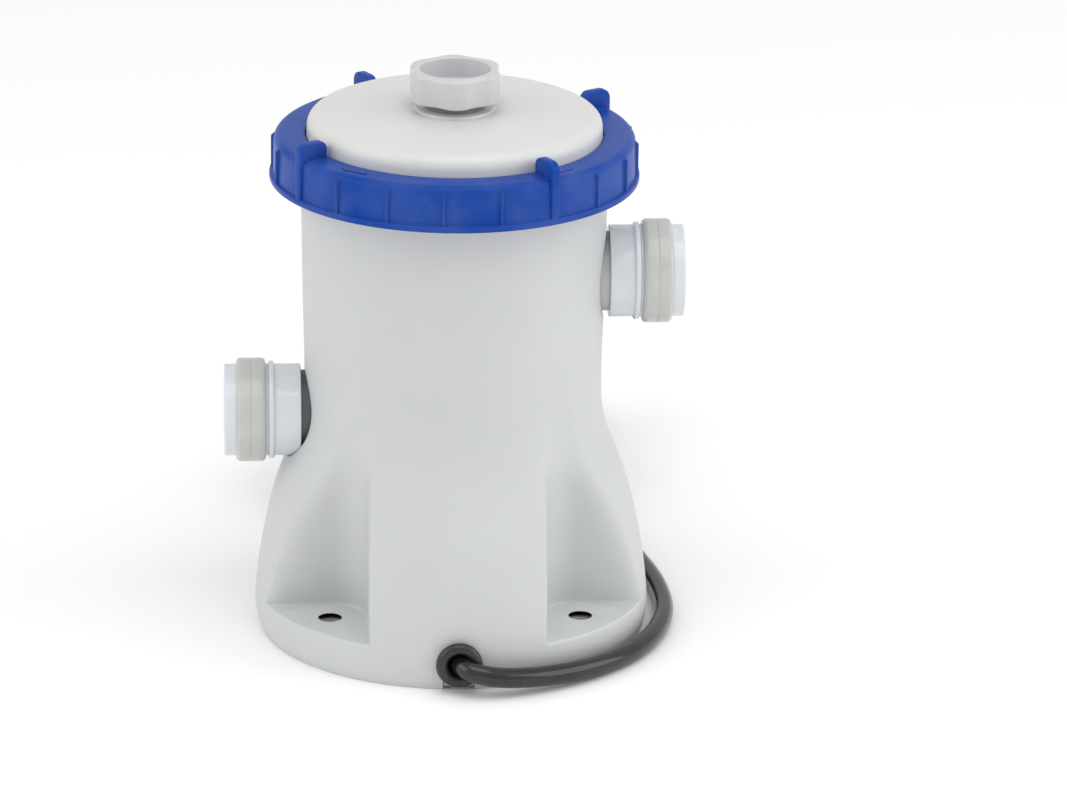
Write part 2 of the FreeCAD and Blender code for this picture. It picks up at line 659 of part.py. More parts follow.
def air_release_knob():
    """Lobed cup knob with its neck and threaded stem."""
    low = KNOB_TOP - KNOB_H
    pitch_r = KNOB_R - KNOB_EDGE
    body = turned([
        (0, low), (pitch_r, low), ((KNOB_R - 0.4, low + 0.4), (KNOB_R, low + KNOB_EDGE)),
        (KNOB_R, KNOB_TOP - KNOB_EDGE),
        ((KNOB_R - 0.3 * KNOB_EDGE, KNOB_TOP - 0.3 * KNOB_EDGE), (pitch_r, KNOB_TOP)), (0, KNOB_TOP)])
    valley_r = 5.2
    valley = Part.makeCylinder(valley_r, 2 * KNOB_H, V(KNOB_R - KNOB_VALLEY + valley_r, 0, low - 1))
    step = 360.0 / KNOB_LOBES
    body = body.cut([spun(valley, 90 + step * (n + 0.5)) for n in range(KNOB_LOBES)])
    cup_floor = KNOB_TOP - KNOB_CUP_DEPTH
    cup = turned([
        (0, cup_floor), (KNOB_CUP_R - 1.5, cup_floor),
        ((KNOB_CUP_R - 0.7, cup_floor + 0.3), (KNOB_CUP_R - 0.3, cup_floor + 1.2)),
        (KNOB_CUP_R, KNOB_TOP - 0.8), ((KNOB_CUP_R + 0.2, KNOB_TOP - 0.25), (KNOB_CUP_R + 0.8, KNOB_TOP)),
        (KNOB_CUP_R + 0.8, KNOB_TOP + 1), (0, KNOB_TOP + 1)])
    neck = tube(0, NECK_OF_KNOB_R, boss_top() + SEAL_T + SLIP, low)
    stem = tube(0, STEM_R, STEM_END_Z, boss_top() + SEAL_T + SLIP)
    groove = tube(STEM_R - 1.2, STEM_R + 1, STEM_END_Z + 1, STEM_END_Z + 1 + STEM_CLIP_T)
    vent = block(-1, 1, STEM_R - 1.3, STEM_R + 1, STEM_END_Z - 1, boss_top())
    return body.cut(cup).fuse([neck, stem]).cut([groove, vent]).removeSplitter()


def air_release_clip():
    """Open clip in the stem's groove, which keeps the knob on the cover."""
    ring = tube(STEM_R - 1.2 + SLIP, STEM_CLIP_R, STEM_END_Z + 1 + SLIP, STEM_END_Z + 1 + STEM_CLIP_T - SLIP)
    return ring.cut(block(-1.6, 1.6, 0, STEM_CLIP_R + 1, STEM_END_Z, STEM_END_Z + 2 * STEM_CLIP_T + 1))


# ---- filter cartridge --------------------------------------------------------------------------
def cart_bottom():
    """Underside of the cartridge, on the vessel's seat ribs."""
    return FLOOR_Z + FLOOR_T + SEAT_H


def cart_top():
    """Top face of the cartridge."""
    return cart_bottom() + CART_H


def cartridge_cap(radius, low, high, groove_in, groove_w, round_low, round_high):
    """End cap with rounded edges and a shallow ring groove in its outer face."""
    body = turned([
        (CAP_HOLE_R, low), (radius - round_low, low),
        ((radius - 0.3 * round_low, low + 0.3 * round_low), (radius, low + round_low)),
        (radius, high - round_high),
        ((radius - 0.3 * round_high, high - 0.3 * round_high), (radius - round_high, high)),
        (CAP_HOLE_R, high)])
    face = high if round_high > round_low else low
    ring = radius - groove_in
    return body.cut(tube(ring, ring + groove_w, face - 0.6, face + 0.6))


def top_cap():
    """Upper end cap of the cartridge."""
    return cartridge_cap(CAP_R, cart_top() - CAP_H, cart_top(), CAP_GROOVE_IN, CAP_GROOVE_W, 0.6, 1.6)


def bottom_cap():
    """Lower end cap of the cartridge."""
    return cartridge_cap(
        FOOT_CAP_R, cart_bottom(), cart_bottom() + FOOT_CAP_H, FOOT_GROOVE_IN, FOOT_GROOVE_W, 0.8, 0.5)


def star(tip_r, root_r, z):
    """Flat star with one point for each pleat."""
    half = math.pi / PLEATS
    spots = []
    for n in range(PLEATS):
        for radius, turn in ((root_r, 2 * n * half), (tip_r, (2 * n + 1) * half)):
            spots.append(V(radius * math.cos(turn), radius * math.sin(turn), z))
    return Part.Face(Part.makePolygon(spots + spots[:1]))


def pleated_media():
    """Folded filter sheet: a star-shaped ring of thin pleats."""
    low = cart_bottom() + FOOT_CAP_H
    high = cart_top() - CAP_H
    root_r = CORE_R + GAP
    lean = math.atan2(math.pi / PLEATS * (PLEAT_R + root_r) / 2, PLEAT_R - root_r)
    across = PLEAT_T / math.sin(lean)
    face = star(PLEAT_R, root_r + across, low).cut(star(PLEAT_R - across, root_r, low))
    return face.extrude(V(0, 0, high - low))


def cartridge_core():
    """Perforated tube that the pleats bear on."""
    low = cart_bottom() + FOOT_CAP_H
    high = cart_top() - CAP_H
    body = tube(CORE_R - CORE_WALL, CORE_R, low, high)
    step = (high - low) / CORE_ROWS
    drills = []
    for row in range(CORE_ROWS):
        for turn in range(CORE_DRILLS):
            spot = low + step * (row + 0.5)
            drill = Part.makeCylinder(CORE_HOLE_R, 4 * CORE_R, V(0, 0, -2 * CORE_R))
            drill = moved(spun(drill, 90, ORIGIN, V(0, 1, 0)), 0, 0, spot)
            drills.append(spun(drill, 180.0 / CORE_DRILLS * (turn + 0.5 * (row % 2))))
    return body.cut(drills)


# ---- pump and motor ----------------------------------------------------------------------------
def pump_housing():
    """Impeller chamber, rotor can and outlet duct with the lower port's stub, in one moulding."""
    outer = VOLUTE_R + VOLUTE_WALL
    chamber = tube(VOLUTE_R, outer, VOLUTE_Z, FLOOR_Z)
    floor = tube(0, outer, VOLUTE_Z - VOLUTE_FLOOR_T, VOLUTE_Z)
    can = tube(0, CAN_R, CAN_BOTTOM, VOLUTE_Z)
    half_w = DUCT_W / 2
    duct_low = LOWER_PORT_Z - DUCT_H / 2 - 1
    duct_high = duct_low + DUCT_H
    wall_end = shell_radius(LOWER_PORT_Z) - SHELL_WALL - GAP
    duct = block(-wall_end, -VOLUTE_R, -half_w - DUCT_WALL, half_w + DUCT_WALL, duct_low - DUCT_WALL, FLOOR_Z)
    stub = to_port(tube(0, STUB_R, wall_end, STUB_END), -1, LOWER_PORT_Z)
    stub_bore = to_port(tube(0, STUB_R - STUB_WALL, wall_end + 2, STUB_END + 1), -1, LOWER_PORT_Z)
    passage = block(-wall_end - 3, -VOLUTE_R + 4, -half_w, half_w, duct_low, duct_high)
    passage = passage.common(to_port(tube(0, STUB_R - 0.5, 0, STUB_END), -1, LOWER_PORT_Z))
    ears = [Part.makeCylinder(EAR_R, EAR_T, spot) for spot in ear_spots(FLOOR_Z - EAR_T)]
    lugs = [Part.makeCylinder(EAR_R, EAR_T, spot.multiply(0.9)) for spot in ear_spots(0)]
    lugs = [moved(lug, 0, 0, FLOOR_Z - EAR_T) for lug in lugs]
    rotor_space = tube(0, CAN_R - CAN_WALL, CAN_BOTTOM + 1.6, VOLUTE_Z)
    body = chamber.fuse([floor, can, duct, stub] + ears + lugs)
    body = body.cut([tube(0, VOLUTE_R, VOLUTE_Z, FLOOR_Z), stub_bore, passage, rotor_space])
    gasket = tube(VOLUTE_R + 1.1, VOLUTE_R + 2.9, FLOOR_Z - 1.2, FLOOR_Z)
    pilots = [Part.makeCylinder(SCREW_R, EAR_T + 1, spot) for spot in ear_spots(FLOOR_Z - EAR_T - 0.5)]
    bush_seat = tube(0, SHAFT_R + 1.2, CAN_BOTTOM + 0.4, CAN_BOTTOM + 2)
    o_ring_seat = to_port(tube(STUB_R - 0.9, STUB_R, STUB_END - 5, STUB_END - 3.2), -1, LOWER_PORT_Z)
    return body.cut([gasket, bush_seat, o_ring_seat] + pilots).removeSplitter()


def ear_spots(z):
    """Where the pump housing is screwed to the vessel's floor; a screw's head clears the chamber's wall."""
    ring = VOLUTE_R + VOLUTE_WALL + SCREW_HEAD_R + THREAD_GAP
    return [polar(ring, angle, z) for angle in (45, 135, 225, 315)]


def pump_gasket():
    """Seal between the pump housing and the vessel's floor."""
    return tube(VOLUTE_R + 1.1 + SLIP, VOLUTE_R + 2.9 - SLIP, FLOOR_Z - 1.2, FLOOR_Z)


def screw(x, y, head_z, length, up=True):
    """Pan-head screw. Its head's bearing face is at head_z and its shank points up, or down."""
    shank = Part.makeCylinder(SCREW_R - SLIP, length, V(x, y, head_z))
    head = Part.makeCylinder(SCREW_HEAD_R, 1.8, V(x, y, head_z - 1.8))
    slot = block(x - 0.35, x + 0.35, y - 2, y + 2, head_z - 2.4, head_z - 1.0)
    cross = block(x - 2, x + 2, y - 0.35, y + 0.35, head_z - 2.4, head_z - 1.0)
    one = shank.fuse(head).cut([slot, cross])
    return one if up else one.mirror(V(x, y, head_z), UP)


def housing_screws():
    """Four screws that hold the pump housing under the vessel."""
    length = EAR_T + SCREW_BITE - GAP
    return Part.makeCompound([screw(p.x, p.y, FLOOR_Z - EAR_T, length) for p in ear_spots(0)])


def impeller():
    """Open impeller: hub, back disc, swept vanes and the sleeve that carries the magnet."""
    low = VOLUTE_Z + 1
    hub_r = 5.0
    disc = tube(0, IMPELLER_R, low, low + 2)
    hub = tube(0, hub_r, low, low + VANE_H - 1)
    sleeve = tube(0, hub_r - 0.8, MAGNET_Z - 1, low)
    sweep = [(3.2, 0), ((9.5, 3.4), (IMPELLER_R - 0.7, 3.8)), (IMPELLER_R - 0.7, 3.8 + VANE_T),
             ((9.0, 3.3 + VANE_T), (3.2, VANE_T))]
    vane = plate(sweep, low + 1, VANE_H)
    vanes = [spun(vane, 360.0 / IMPELLER_VANES * n) for n in range(IMPELLER_VANES)]
    bore = tube(0, bush_r(), MAGNET_Z - 2, low + VANE_H + 2)
    return disc.fuse([hub, sleeve] + vanes).cut(bore).removeSplitter()


def bush_r():
    """Outer radius of the rotor's two running bushes."""
    return SHAFT_R + 1.3


def rotor_bushes():
    """Carbon bushes in the impeller's bore, one at each end."""
    low = MAGNET_Z - 1
    high = VOLUTE_Z + VANE_H
    bushes = [tube(SHAFT_R + RUN, bush_r() - SLIP, z, z + BUSH_L) for z in (low, high - BUSH_L)]
    return Part.makeCompound(bushes)


def rotor_magnet():
    """Ring magnet on the impeller's sleeve."""
    return tube(4.2 + SLIP, MAGNET_R, MAGNET_Z, MAGNET_Z + MAGNET_H)


def shaft_ends():
    """Bottom and top of the fixed steel shaft."""
    return CAN_BOTTOM + 0.6, FLOOR_Z + FLOOR_T - 0.2


def rotor_shaft():
    """Fixed steel shaft."""
    low, high = shaft_ends()
    return tube(0, SHAFT_R, low, high)


def shaft_seats():
    """Rubber seats that hold the shaft's two ends."""
    low = tube(SHAFT_R + SLIP, SHAFT_R + 1.2 - SLIP, CAN_BOTTOM + 0.4, CAN_BOTTOM + 2)
    high = tube(SHAFT_R + SLIP, SHAFT_R + 1.2 - SLIP, FLOOR_Z, FLOOR_Z + FLOOR_T)
    return Part.makeCompound([low, high])


def stator_core():
    """U-shaped laminated core with its bore round the rotor can."""
    high = CORE_PLATE_Z + CORE_PLATE_H
    legs = [block(s * CORE_LEG_IN if s > 0 else -CORE_LEG_OUT, s * CORE_LEG_OUT if s > 0 else -CORE_LEG_IN,
                  -CORE_FRONT, CORE_BACK, CORE_PLATE_Z, high) for s in (1, -1)]
    yoke = block(-CORE_LEG_OUT, CORE_LEG_OUT, CORE_BACK - CORE_YOKE_T, CORE_BACK, CORE_PLATE_Z, high)
    bore = tube(0, CAN_R + 0.2, CORE_PLATE_Z - 1, high + 1)
    return legs[0].fuse([legs[1], yoke]).cut(bore).removeSplitter()


def leg_sleeve(side, grow_in, grow_out, y0, y1):
    """Rectangular tube round one leg of the core."""
    def box(grow):
        x0, x1 = CORE_LEG_IN - grow, CORE_LEG_OUT + grow
        if side < 0:
            x0, x1 = -x1, -x0
        return block(x0, x1, y0, y1, CORE_PLATE_Z - grow, CORE_PLATE_Z + CORE_PLATE_H + grow)
    return box(grow_out).cut(box(grow_in))


def coil_bobbins():
    """Two moulded bobbins with end flanges."""
    made = []
    for side in (1, -1):
        core = leg_sleeve(side, SLIP, BOBBIN_T, BOBBIN_FROM, BOBBIN_TO)
        flanges = (BOBBIN_FROM, BOBBIN_TO - BOBBIN_T)
        ends = [leg_sleeve(side, SLIP, BOBBIN_FLANGE, y, y + BOBBIN_T) for y in flanges]
        made.append(core.fuse(ends).removeSplitter())
    return Part.makeCompound(made)


def coil_windings():
    """Two copper windings between the bobbins' flanges."""
    low = BOBBIN_FROM + BOBBIN_T + SLIP
    high = BOBBIN_TO - BOBBIN_T - SLIP
    return Part.makeCompound([
        leg_sleeve(side, BOBBIN_T + SLIP, BOBBIN_FLANGE - 0.6, low, high) for side in (1, -1)])


# ---- base plate and wiring ---------------------------------------------------------------------
def clamp_y():
    """Front and back of the cord clamp."""
    return -terminal_front() - 8.0, -terminal_front() - 2.0


def clamp_screw_xs():
    """The clamp's two screws, either side of the cord."""
    return -CLAMP_SCREW_X, CLAMP_SCREW_X


def terminal_front():
    """Distance from the axis to the terminal block's front face."""
    return -(TERMINAL_BACK - TERMINAL[1])


def base_plate():
    """Bottom plate with motor cradle, cord saddle, terminal seat and the tab that closes the notch."""
    top = PLATE_Z + PLATE_T
    body = tube(0, FOOT_R - SHELL_WALL - 2 * GAP, PLATE_Z, top)
    clear = Part.makeCylinder(HOLE_R + BOSS_WALL + GAP, PLATE_T, V(HOLE_X, HOLE_Y, PLATE_Z))
    body = body.cut(four_ways(clear))
    pads = []
    for side in (1, -1):
        x0, x1 = (CORE_LEG_OUT - 8, CORE_LEG_OUT) if side > 0 else (-CORE_LEG_OUT, -CORE_LEG_OUT + 8)
        for y in (-CORE_FRONT, CORE_BACK - 6):
            pads.append(block(x0, x1, y, y + 4, top - 0.5, CORE_PLATE_Z))
    front, back = clamp_y()
    saddle = block(-CLAMP_HALF, CLAMP_HALF, front, back, top - 0.5, CORD_Z)
    seat_x = TERMINAL[0] / 2
    seat = block(-seat_x, seat_x, TERMINAL_BACK - TERMINAL[1], TERMINAL_BACK, top - 0.5, terminal_z())
    tab = block(-NOTCH_R + GAP, NOTCH_R - GAP, -FOOT_R + 0.6, -FOOT_R + 8, PLATE_Z, top)
    channel = Part.makeCylinder(CORD_R + SLIP, 4 * CORD_R, V(0, back - 3 * CORD_R, CORD_Z), V(0, 1, 0))
    drills = [Part.makeCylinder(SCREW_R + 0.2, PLATE_T + 2, V(p.x, p.y, PLATE_Z - 1))
              for p in [polar(POST_RING_R, a) for a in post_places()]]
    drills += [Part.makeCylinder(SCREW_R, 9, V(x, (front + back) / 2, CORD_Z - 6)) for x in clamp_screw_xs()]
    return body.fuse(pads + [saddle, seat, tab]).cut(drills + [channel]).removeSplitter()


def base_screws():
    """Four screws that hold the base plate to the shell's posts."""
    spots = [polar(POST_RING_R, angle) for angle in post_places()]
    heads = PLATE_Z
    return Part.makeCompound([flush_screw(p.x, p.y, heads) for p in spots])


def flush_screw(x, y, z):
    """Thin-headed screw under the base plate."""
    shank = Part.makeCylinder(SCREW_R - SLIP, 10, V(x, y, z))
    head = Part.makeCylinder(SCREW_HEAD_R, 0.9, V(x, y, z - 0.9))
    return shank.fuse(head).cut(block(x - 2, x + 2, y - 0.35, y + 0.35, z - 1, z - 0.4))


def terminal_z():
    """Underside of the terminal block: its middle is level with the cord."""
    return CORD_Z - TERMINAL[2] / 2


def terminal_block():
    """Screw terminal block with two poles."""
    wide, deep, tall = TERMINAL
    low = terminal_z()
    body = block(-wide / 2, wide / 2, TERMINAL_BACK - deep, TERMINAL_BACK, low, low + tall)
    middle_y = TERMINAL_BACK - deep / 2
    wells = [Part.makeCylinder(2.1, 5, V(x, middle_y, low + tall - 5)) for x in (-wide / 4, wide / 4)]
    split = block(-0.5, 0.5, TERMINAL_BACK - deep, TERMINAL_BACK, low + tall - 2.5, low + tall)
    return body.cut(wells + [split])


def cord_clamp():
    """Bar over the cord inside the housing."""
    front, back = clamp_y()
    bar = block(-CLAMP_HALF, CLAMP_HALF, front + 0.5, back - 0.5, CORD_Z, CORD_Z + CORD_R + CLAMP_T)
    channel = Part.makeCylinder(CORD_R + SLIP, 20, V(0, front - 5, CORD_Z), V(0, 1, 0))
    middle_y = (front + back) / 2
    holes = [Part.makeCylinder(SCREW_R + 0.2, 10, V(x, middle_y, CORD_Z - 1)) for x in clamp_screw_xs()]
    return bar.cut([channel] + holes)


def clamp_screws():
    """Two screws of the cord clamp."""
    front, back = clamp_y()
    top = CORD_Z + CORD_R + CLAMP_T
    return Part.makeCompound([screw(x, (front + back) / 2, top, 11, up=False) for x in clamp_screw_xs()])


def lead_wires():
    """Two insulated leads from the terminal block to the windings."""
    high = CORE_PLATE_Z - BOBBIN_FLANGE + 0.6
    turn_y = (BOBBIN_FROM + BOBBIN_TO) / 2
    bend = 5.0
    made = []
    for x in (-TERMINAL[0] / 4, TERMINAL[0] / 4):
        start = V(x, TERMINAL_BACK, CORD_Z)
        a = V(x, turn_y - bend, CORD_Z)
        b = V(x, turn_y, CORD_Z + bend)
        middle = V(x, turn_y - bend + bend * math.sqrt(0.5), CORD_Z + bend - bend * math.sqrt(0.5))
        path = Part.Wire([Part.LineSegment(start, a).toShape(), Part.Arc(a, middle, b).toShape(),
                          Part.LineSegment(b, V(x, turn_y, high)).toShape()])
        ring = Part.Wire(Part.makeCircle(WIRE_R, start, V(0, 1, 0)))
        made.append(path.makePipeShell([ring], True, False))
    return Part.makeCompound([Part.Solid(s) if s.ShapeType != "Solid" else s for s in made])


def cord_grommet():
    """Rubber grommet: a rounded ring outside the shell and a thin collar inside it."""
    face_y = -grommet_face()
    ring = Part.makeTorus(GROMMET_RING_R, GROMMET_TUBE_R, V(0, face_y - GROMMET_TUBE_R, CORD_Z), V(0, 1, 0))
    outer = NOTCH_R - SLIP
    bore = CORD_R + 0.6
    neck = Part.makeCylinder(outer, SHELL_WALL + 3.2, V(0, face_y - 1.2, CORD_Z), V(0, 1, 0))
    collar = Part.makeCylinder(NOTCH_R + 1.0, 1.2, V(0, face_y + SHELL_WALL + 0.8, CORD_Z), V(0, 1, 0))
    hole = Part.makeCylinder(bore, 20, V(0, face_y - 10, CORD_Z), V(0, 1, 0))
    return ring.fuse([neck, collar]).cut(hole).removeSplitter()


def grommet_face():
    """Distance from the axis to the shell's surface at the cord's hole."""
    return BASE_R + SLIP


# ---- mains cord --------------------------------------------------------------------------------
def cord_path(points, label):
    """Straight runs joined by tangent arcs; prints the arc radii and returns wire and length."""
    spots = [V(*p) for p in points]
    edges = []
    here = spots[0]
    radii = []
    for before, corner, after in zip(spots, spots[1:], spots[2:]):
        back = before.sub(corner)
        ahead = after.sub(corner)
        turn = math.pi - back.getAngle(ahead)
        cut = 0.45 * min(back.Length, ahead.Length)
        radius = cut / math.tan(turn / 2)
        radii.append(round(radius, 1))
        start = corner.add(V(back).normalize().multiply(cut))
        end = corner.add(V(ahead).normalize().multiply(cut))
        inward = V(back).normalize().add(V(ahead).normalize()).normalize()
        sagitta = radius / math.cos(turn / 2) - radius
        middle = corner.add(inward.multiply(sagitta))
        edges.append(Part.LineSegment(here, start).toShape())
        edges.append(Part.Arc(start, middle, end).toShape())
        here = end
    edges.append(Part.LineSegment(here, spots[-1]).toShape())
    wire = Part.Wire(edges)
    print(label, "length", round(wire.Length, 1), "radii", radii)
    return wire


def cord_tube(points, label):
    """Round cord along a route, checked against its section times its length."""
    wire = cord_path(points, label)
    first = V(*points[1]).sub(V(*points[0]))
    ring = Part.Wire(Part.makeCircle(CORD_R, V(*points[0]), first))
    pipe = wire.makePipeShell([ring], True, False)
    pipe = pipe if pipe.ShapeType == "Solid" else Part.Solid(pipe)
    print(label, "volume ratio", round(pipe.Volume / (math.pi * CORD_R ** 2 * wire.Length), 4))
    return pipe


def cord_inner():
    """Cord's end inside the housing, from the grommet to the terminal block."""
    start = CORD_ROUTE[0][1] + GAP
    return Part.makeCylinder(CORD_R, -start - terminal_front(), V(0, start, CORD_Z), V(0, 1, 0))


def coil_section():
    """Inner and outer radius and top of the coil."""
    half = COIL_WIDE * CORD_R
    return COIL_MID_R - half, COIL_MID_R + half, COIL_Z + COIL_HIGH * 2 * CORD_R


def cord_coil():
    """Outer shape of the put-away coil."""
    inner, outer, top = coil_section()
    return moved(tube(inner, outer, COIL_Z, top), COIL_X, COIL_Y, 0)


def coil_tie():
    """Strap round the coil's turns, at its left side."""
    inner, outer, top = coil_section()
    sag = inner - math.sqrt(inner ** 2 - (TIE_W / 2) ** 2)
    left = COIL_X - outer - SLIP
    right = COIL_X - inner + sag + SLIP
    y0, y1 = COIL_Y - TIE_W / 2, COIL_Y + TIE_W / 2
    outside = block(left - TIE_T, right + TIE_T, y0, y1, COIL_Z - TIE_T, top + TIE_T)
    return outside.cut(block(left, right, y0 - 1, y1 + 1, COIL_Z, top))


def plug_axis():
    """Where the cord enters the plug's strain relief, which points along +Y."""
    return TAIL_ROUTE[-1]


def plug_relief():
    """Tapered strain relief between the cord and the plug."""
    x, y, z = plug_axis()
    cone = Part.makeCone(CORD_R + 0.8, RELIEF_R, RELIEF_L, V(x, y, z), V(0, 1, 0))
    grooves = []
    for n in range(4):
        spot = y + 5 + 5 * n
        grooves.append(Part.makeCylinder(2 * RELIEF_R, 1.2, V(x, spot, z), V(0, 1, 0)).cut(
            Part.makeCylinder(CORD_R + 0.5, 1.2, V(x, spot, z), V(0, 1, 0))))
    return cone.cut(grooves)


def plug_outline():
    """Rounded outline of the flat plug in the plane of its pins: (x, y)."""
    x, y, _ = plug_axis()
    start = y + RELIEF_L
    half = PLUG_W / 2
    grip = half * 0.62
    wide = start + 0.62 * PLUG_L
    end = start + PLUG_L
    return [
        (x - grip + 3, start), (x + grip - 3, start), ((x + grip - 0.6, start + 1.2), (x + grip, start + 4)),
        (x + half, wide), (x + half, end), (x - half, end), (x - half, wide), (x - grip, start + 4),
        ((x - grip + 0.6, start + 1.2), (x - grip + 3, start))]


def plug_body():
    """Flat two-pin plug body."""
    x, y, z = plug_axis()
    body = plate(plug_outline(), z - PLUG_T / 2, PLUG_T)
    face_y = y + RELIEF_L + PLUG_L
    rims = [e for e in body.Edges if e.BoundBox.ZLength < 0.01 and e.BoundBox.YMax < face_y - 0.01]
    return body.makeFillet(2.2, rims)


def plug_pins():
    """Two contact pins, bare tips and insulated roots in one."""
    x, y, z = plug_axis()
    start = y + RELIEF_L + PLUG_L
    pins = []
    for side in (-1, 1):
        place = V(x + side * PIN_SPACING / 2, start, z)
        pin = Part.makeCylinder(PIN_R, PIN_L - 1, place, V(0, 1, 0))
        tip = Part.makeCone(PIN_R, PIN_R - 0.9, 1, place.add(V(0, PIN_L - 1, 0)), V(0, 1, 0))
        pins.append(pin.fuse(tip).removeSplitter())
    return Part.makeCompound(pins)


# ---- the parts ---------------------------------------------------------------------------------
PARTS = {
    "outer_shell": outer_shell,
    "filter_vessel": filter_vessel,
    "cover_seal": cover_seal,
    "upper_spigot": lambda: to_port(spigot(UPPER_PORT_Z), 1, UPPER_PORT_Z),
    "lower_spigot": lambda: to_port(spigot(LOWER_PORT_Z), -1, LOWER_PORT_Z),
    "upper_hose_sleeve": lambda: to_port(hose_sleeve(), 1, UPPER_PORT_Z),
    "lower_hose_sleeve": lambda: to_port(hose_sleeve(), -1, LOWER_PORT_Z),
    "upper_spigot_seal": lambda: to_port(stub_seal(), 1, UPPER_PORT_Z),
    "lower_spigot_seal": lambda: to_port(stub_seal(), -1, LOWER_PORT_Z),
    "filter_cover": filter_cover,
    "locking_ring": locking_ring,
    "air_release_seal": air_release_seal,
    "air_release_knob": air_release_knob,
    "air_release_clip": air_release_clip,
    "cartridge_top_cap": top_cap,
    "cartridge_bottom_cap": bottom_cap,
    "pleated_media": pleated_media,
    "cartridge_core": cartridge_core,
    "pump_housing": pump_housing,
    "pump_gasket": pump_gasket,
    "pump_housing_screws": housing_screws,
    "impeller": impeller,
    "rotor_magnet": rotor_magnet,
    "rotor_bushes": rotor_bushes,
    "rotor_shaft": rotor_shaft,
    "shaft_seats": shaft_seats,
    "stator_core": stator_core,
    "coil_bobbins": coil_bobbins,
    "coil_windings": coil_windings,
    "base_plate": base_plate,
    "base_screws": base_screws,
    "terminal_block": terminal_block,
    "cord_clamp": cord_clamp,
    "cord_clamp_screws": clamp_screws,
    "lead_wires": lead_wires,
    "cord_grommet": cord_grommet,
    "cord_inner": cord_inner,
    "power_cord": lambda: cord_tube(CORD_ROUTE, "power_cord"),
    "cord_coil": cord_coil,
    "coil_tie": coil_tie,
    "cord_tail": lambda: cord_tube(TAIL_ROUTE, "cord_tail"),
    "plug_relief": plug_relief,
    "plug_body": plug_body,
    "plug_pins": plug_pins,
}

os.makedirs("parts", exist_ok=True)
for part_name, make in PARTS.items():
    save(part_name, make())
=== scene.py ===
"""Finished surfaces for a small cartridge filter pump, built round its packed frame.

Everything is in metres in the frame's own axes: +Z up, the front is -Y, the upper hose port points
along +X. Sizes in the settings below are the same as the frame's, so each piece lands where it belongs.
"""
import json
import math
import random

import bmesh
import bpy
from bpy.props import FloatProperty, IntProperty, PointerProperty, StringProperty
from mathutils import Matrix, Vector

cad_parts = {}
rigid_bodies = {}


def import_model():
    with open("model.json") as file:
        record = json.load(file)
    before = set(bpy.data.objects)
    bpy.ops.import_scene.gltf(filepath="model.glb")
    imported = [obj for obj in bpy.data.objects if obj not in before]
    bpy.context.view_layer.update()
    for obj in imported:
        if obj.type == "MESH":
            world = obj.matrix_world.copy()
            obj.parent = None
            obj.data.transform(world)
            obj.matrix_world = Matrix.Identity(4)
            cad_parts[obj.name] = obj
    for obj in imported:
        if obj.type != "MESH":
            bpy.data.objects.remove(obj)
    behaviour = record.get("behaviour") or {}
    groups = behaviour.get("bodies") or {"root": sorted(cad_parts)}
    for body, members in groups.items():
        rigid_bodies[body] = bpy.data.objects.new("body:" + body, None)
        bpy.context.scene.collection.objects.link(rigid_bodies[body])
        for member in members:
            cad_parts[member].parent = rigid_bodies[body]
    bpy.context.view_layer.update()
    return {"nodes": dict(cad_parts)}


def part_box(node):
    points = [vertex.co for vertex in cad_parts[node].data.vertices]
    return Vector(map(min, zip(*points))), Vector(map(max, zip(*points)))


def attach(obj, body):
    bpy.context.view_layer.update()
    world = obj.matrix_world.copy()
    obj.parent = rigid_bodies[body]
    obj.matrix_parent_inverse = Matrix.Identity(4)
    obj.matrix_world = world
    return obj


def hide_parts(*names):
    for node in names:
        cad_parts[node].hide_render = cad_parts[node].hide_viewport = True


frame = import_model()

bl_info = {
    "name": "Cartridge filter pump",
    "version": (1, 0, 0),
    "blender": (4, 5, 0),
    "location": "View3D > Sidebar > Filter Pump",
    "description": "Builds the finished surfaces of a small pool filter pump round its frame",
    "category": "Object",
}

MM = 0.001
UP = Vector((0, 0, 1))
TAU = 2 * math.pi


def length(name, default_mm, text):
    """A length property, given in millimetres and kept in metres."""
    return FloatProperty(name=name, description=text, default=default_mm * MM, subtype="DISTANCE", unit="LENGTH")


def shade(name, default, text):
    """A colour property, kept as an sRGB hex value."""
    return StringProperty(name=name, description=text, default=default)


# ---- settings ------------------------------------------------------------------------------------
class ShellSettings(bpy.types.PropertyGroup):
    """Sizes of the one-piece outer casing."""

    foot_r: length("Foot radius", 66.7, "Radius on the floor")
    base_r: length("Base radius", 68.7, "Widest radius of the flare")
    base_z: length("Base height", 10.6, "Height of the widest ring")
    waist_r: length("Waist radius", 51.7, "Radius where the flare has run out")
    waist_z: length("Waist height", 86.0, "Height where the flare ends")
    neck_r: length("Neck radius", 52.9, "Radius of the upright wall at its top")
    top_z: length("Shell top", 164.0, "Height of the shell's top rim")
    wall: length("Wall", 2.5, "Wall thickness")
    hole_x: length("Hole X", 43.4, "Half the spacing of the floor screws along X")
    hole_y: length("Hole Y", 34.8, "Half the spacing of the floor screws along Y")
    hole_r: length("Hole radius", 4.1, "Floor screw hole")
    boss_wall: length("Boss wall", 2.6, "Wall of the tube under each screw hole")
    ledge_z: length("Ledge height", 14.2, "Top of the ledge under each screw head")
    pocket_r: length("Pocket radius", 12.8, "Clear radius round each screw")
    lean: FloatProperty(name="Lean", description="How far the pocket's long wall leans back per height",
                        default=0.208)
    crisp: length("Crisp edge", 1.6, "Rounding of the pocket's upright edge")
    soft: length("Soft edge", 9.0, "Rounding of the pocket's leaning edge")
    port_hole_r: length("Port hole", 16.4, "Radius of the holes round the hose ports")
    notch_r: length("Notch", 5.45, "Half width of the cord's notch")
    cord_z: length("Cord height", 10.4, "Height of the cord's hole")
    colour: shade("Shell colour", "#c7c9ca", "Moulded shell")


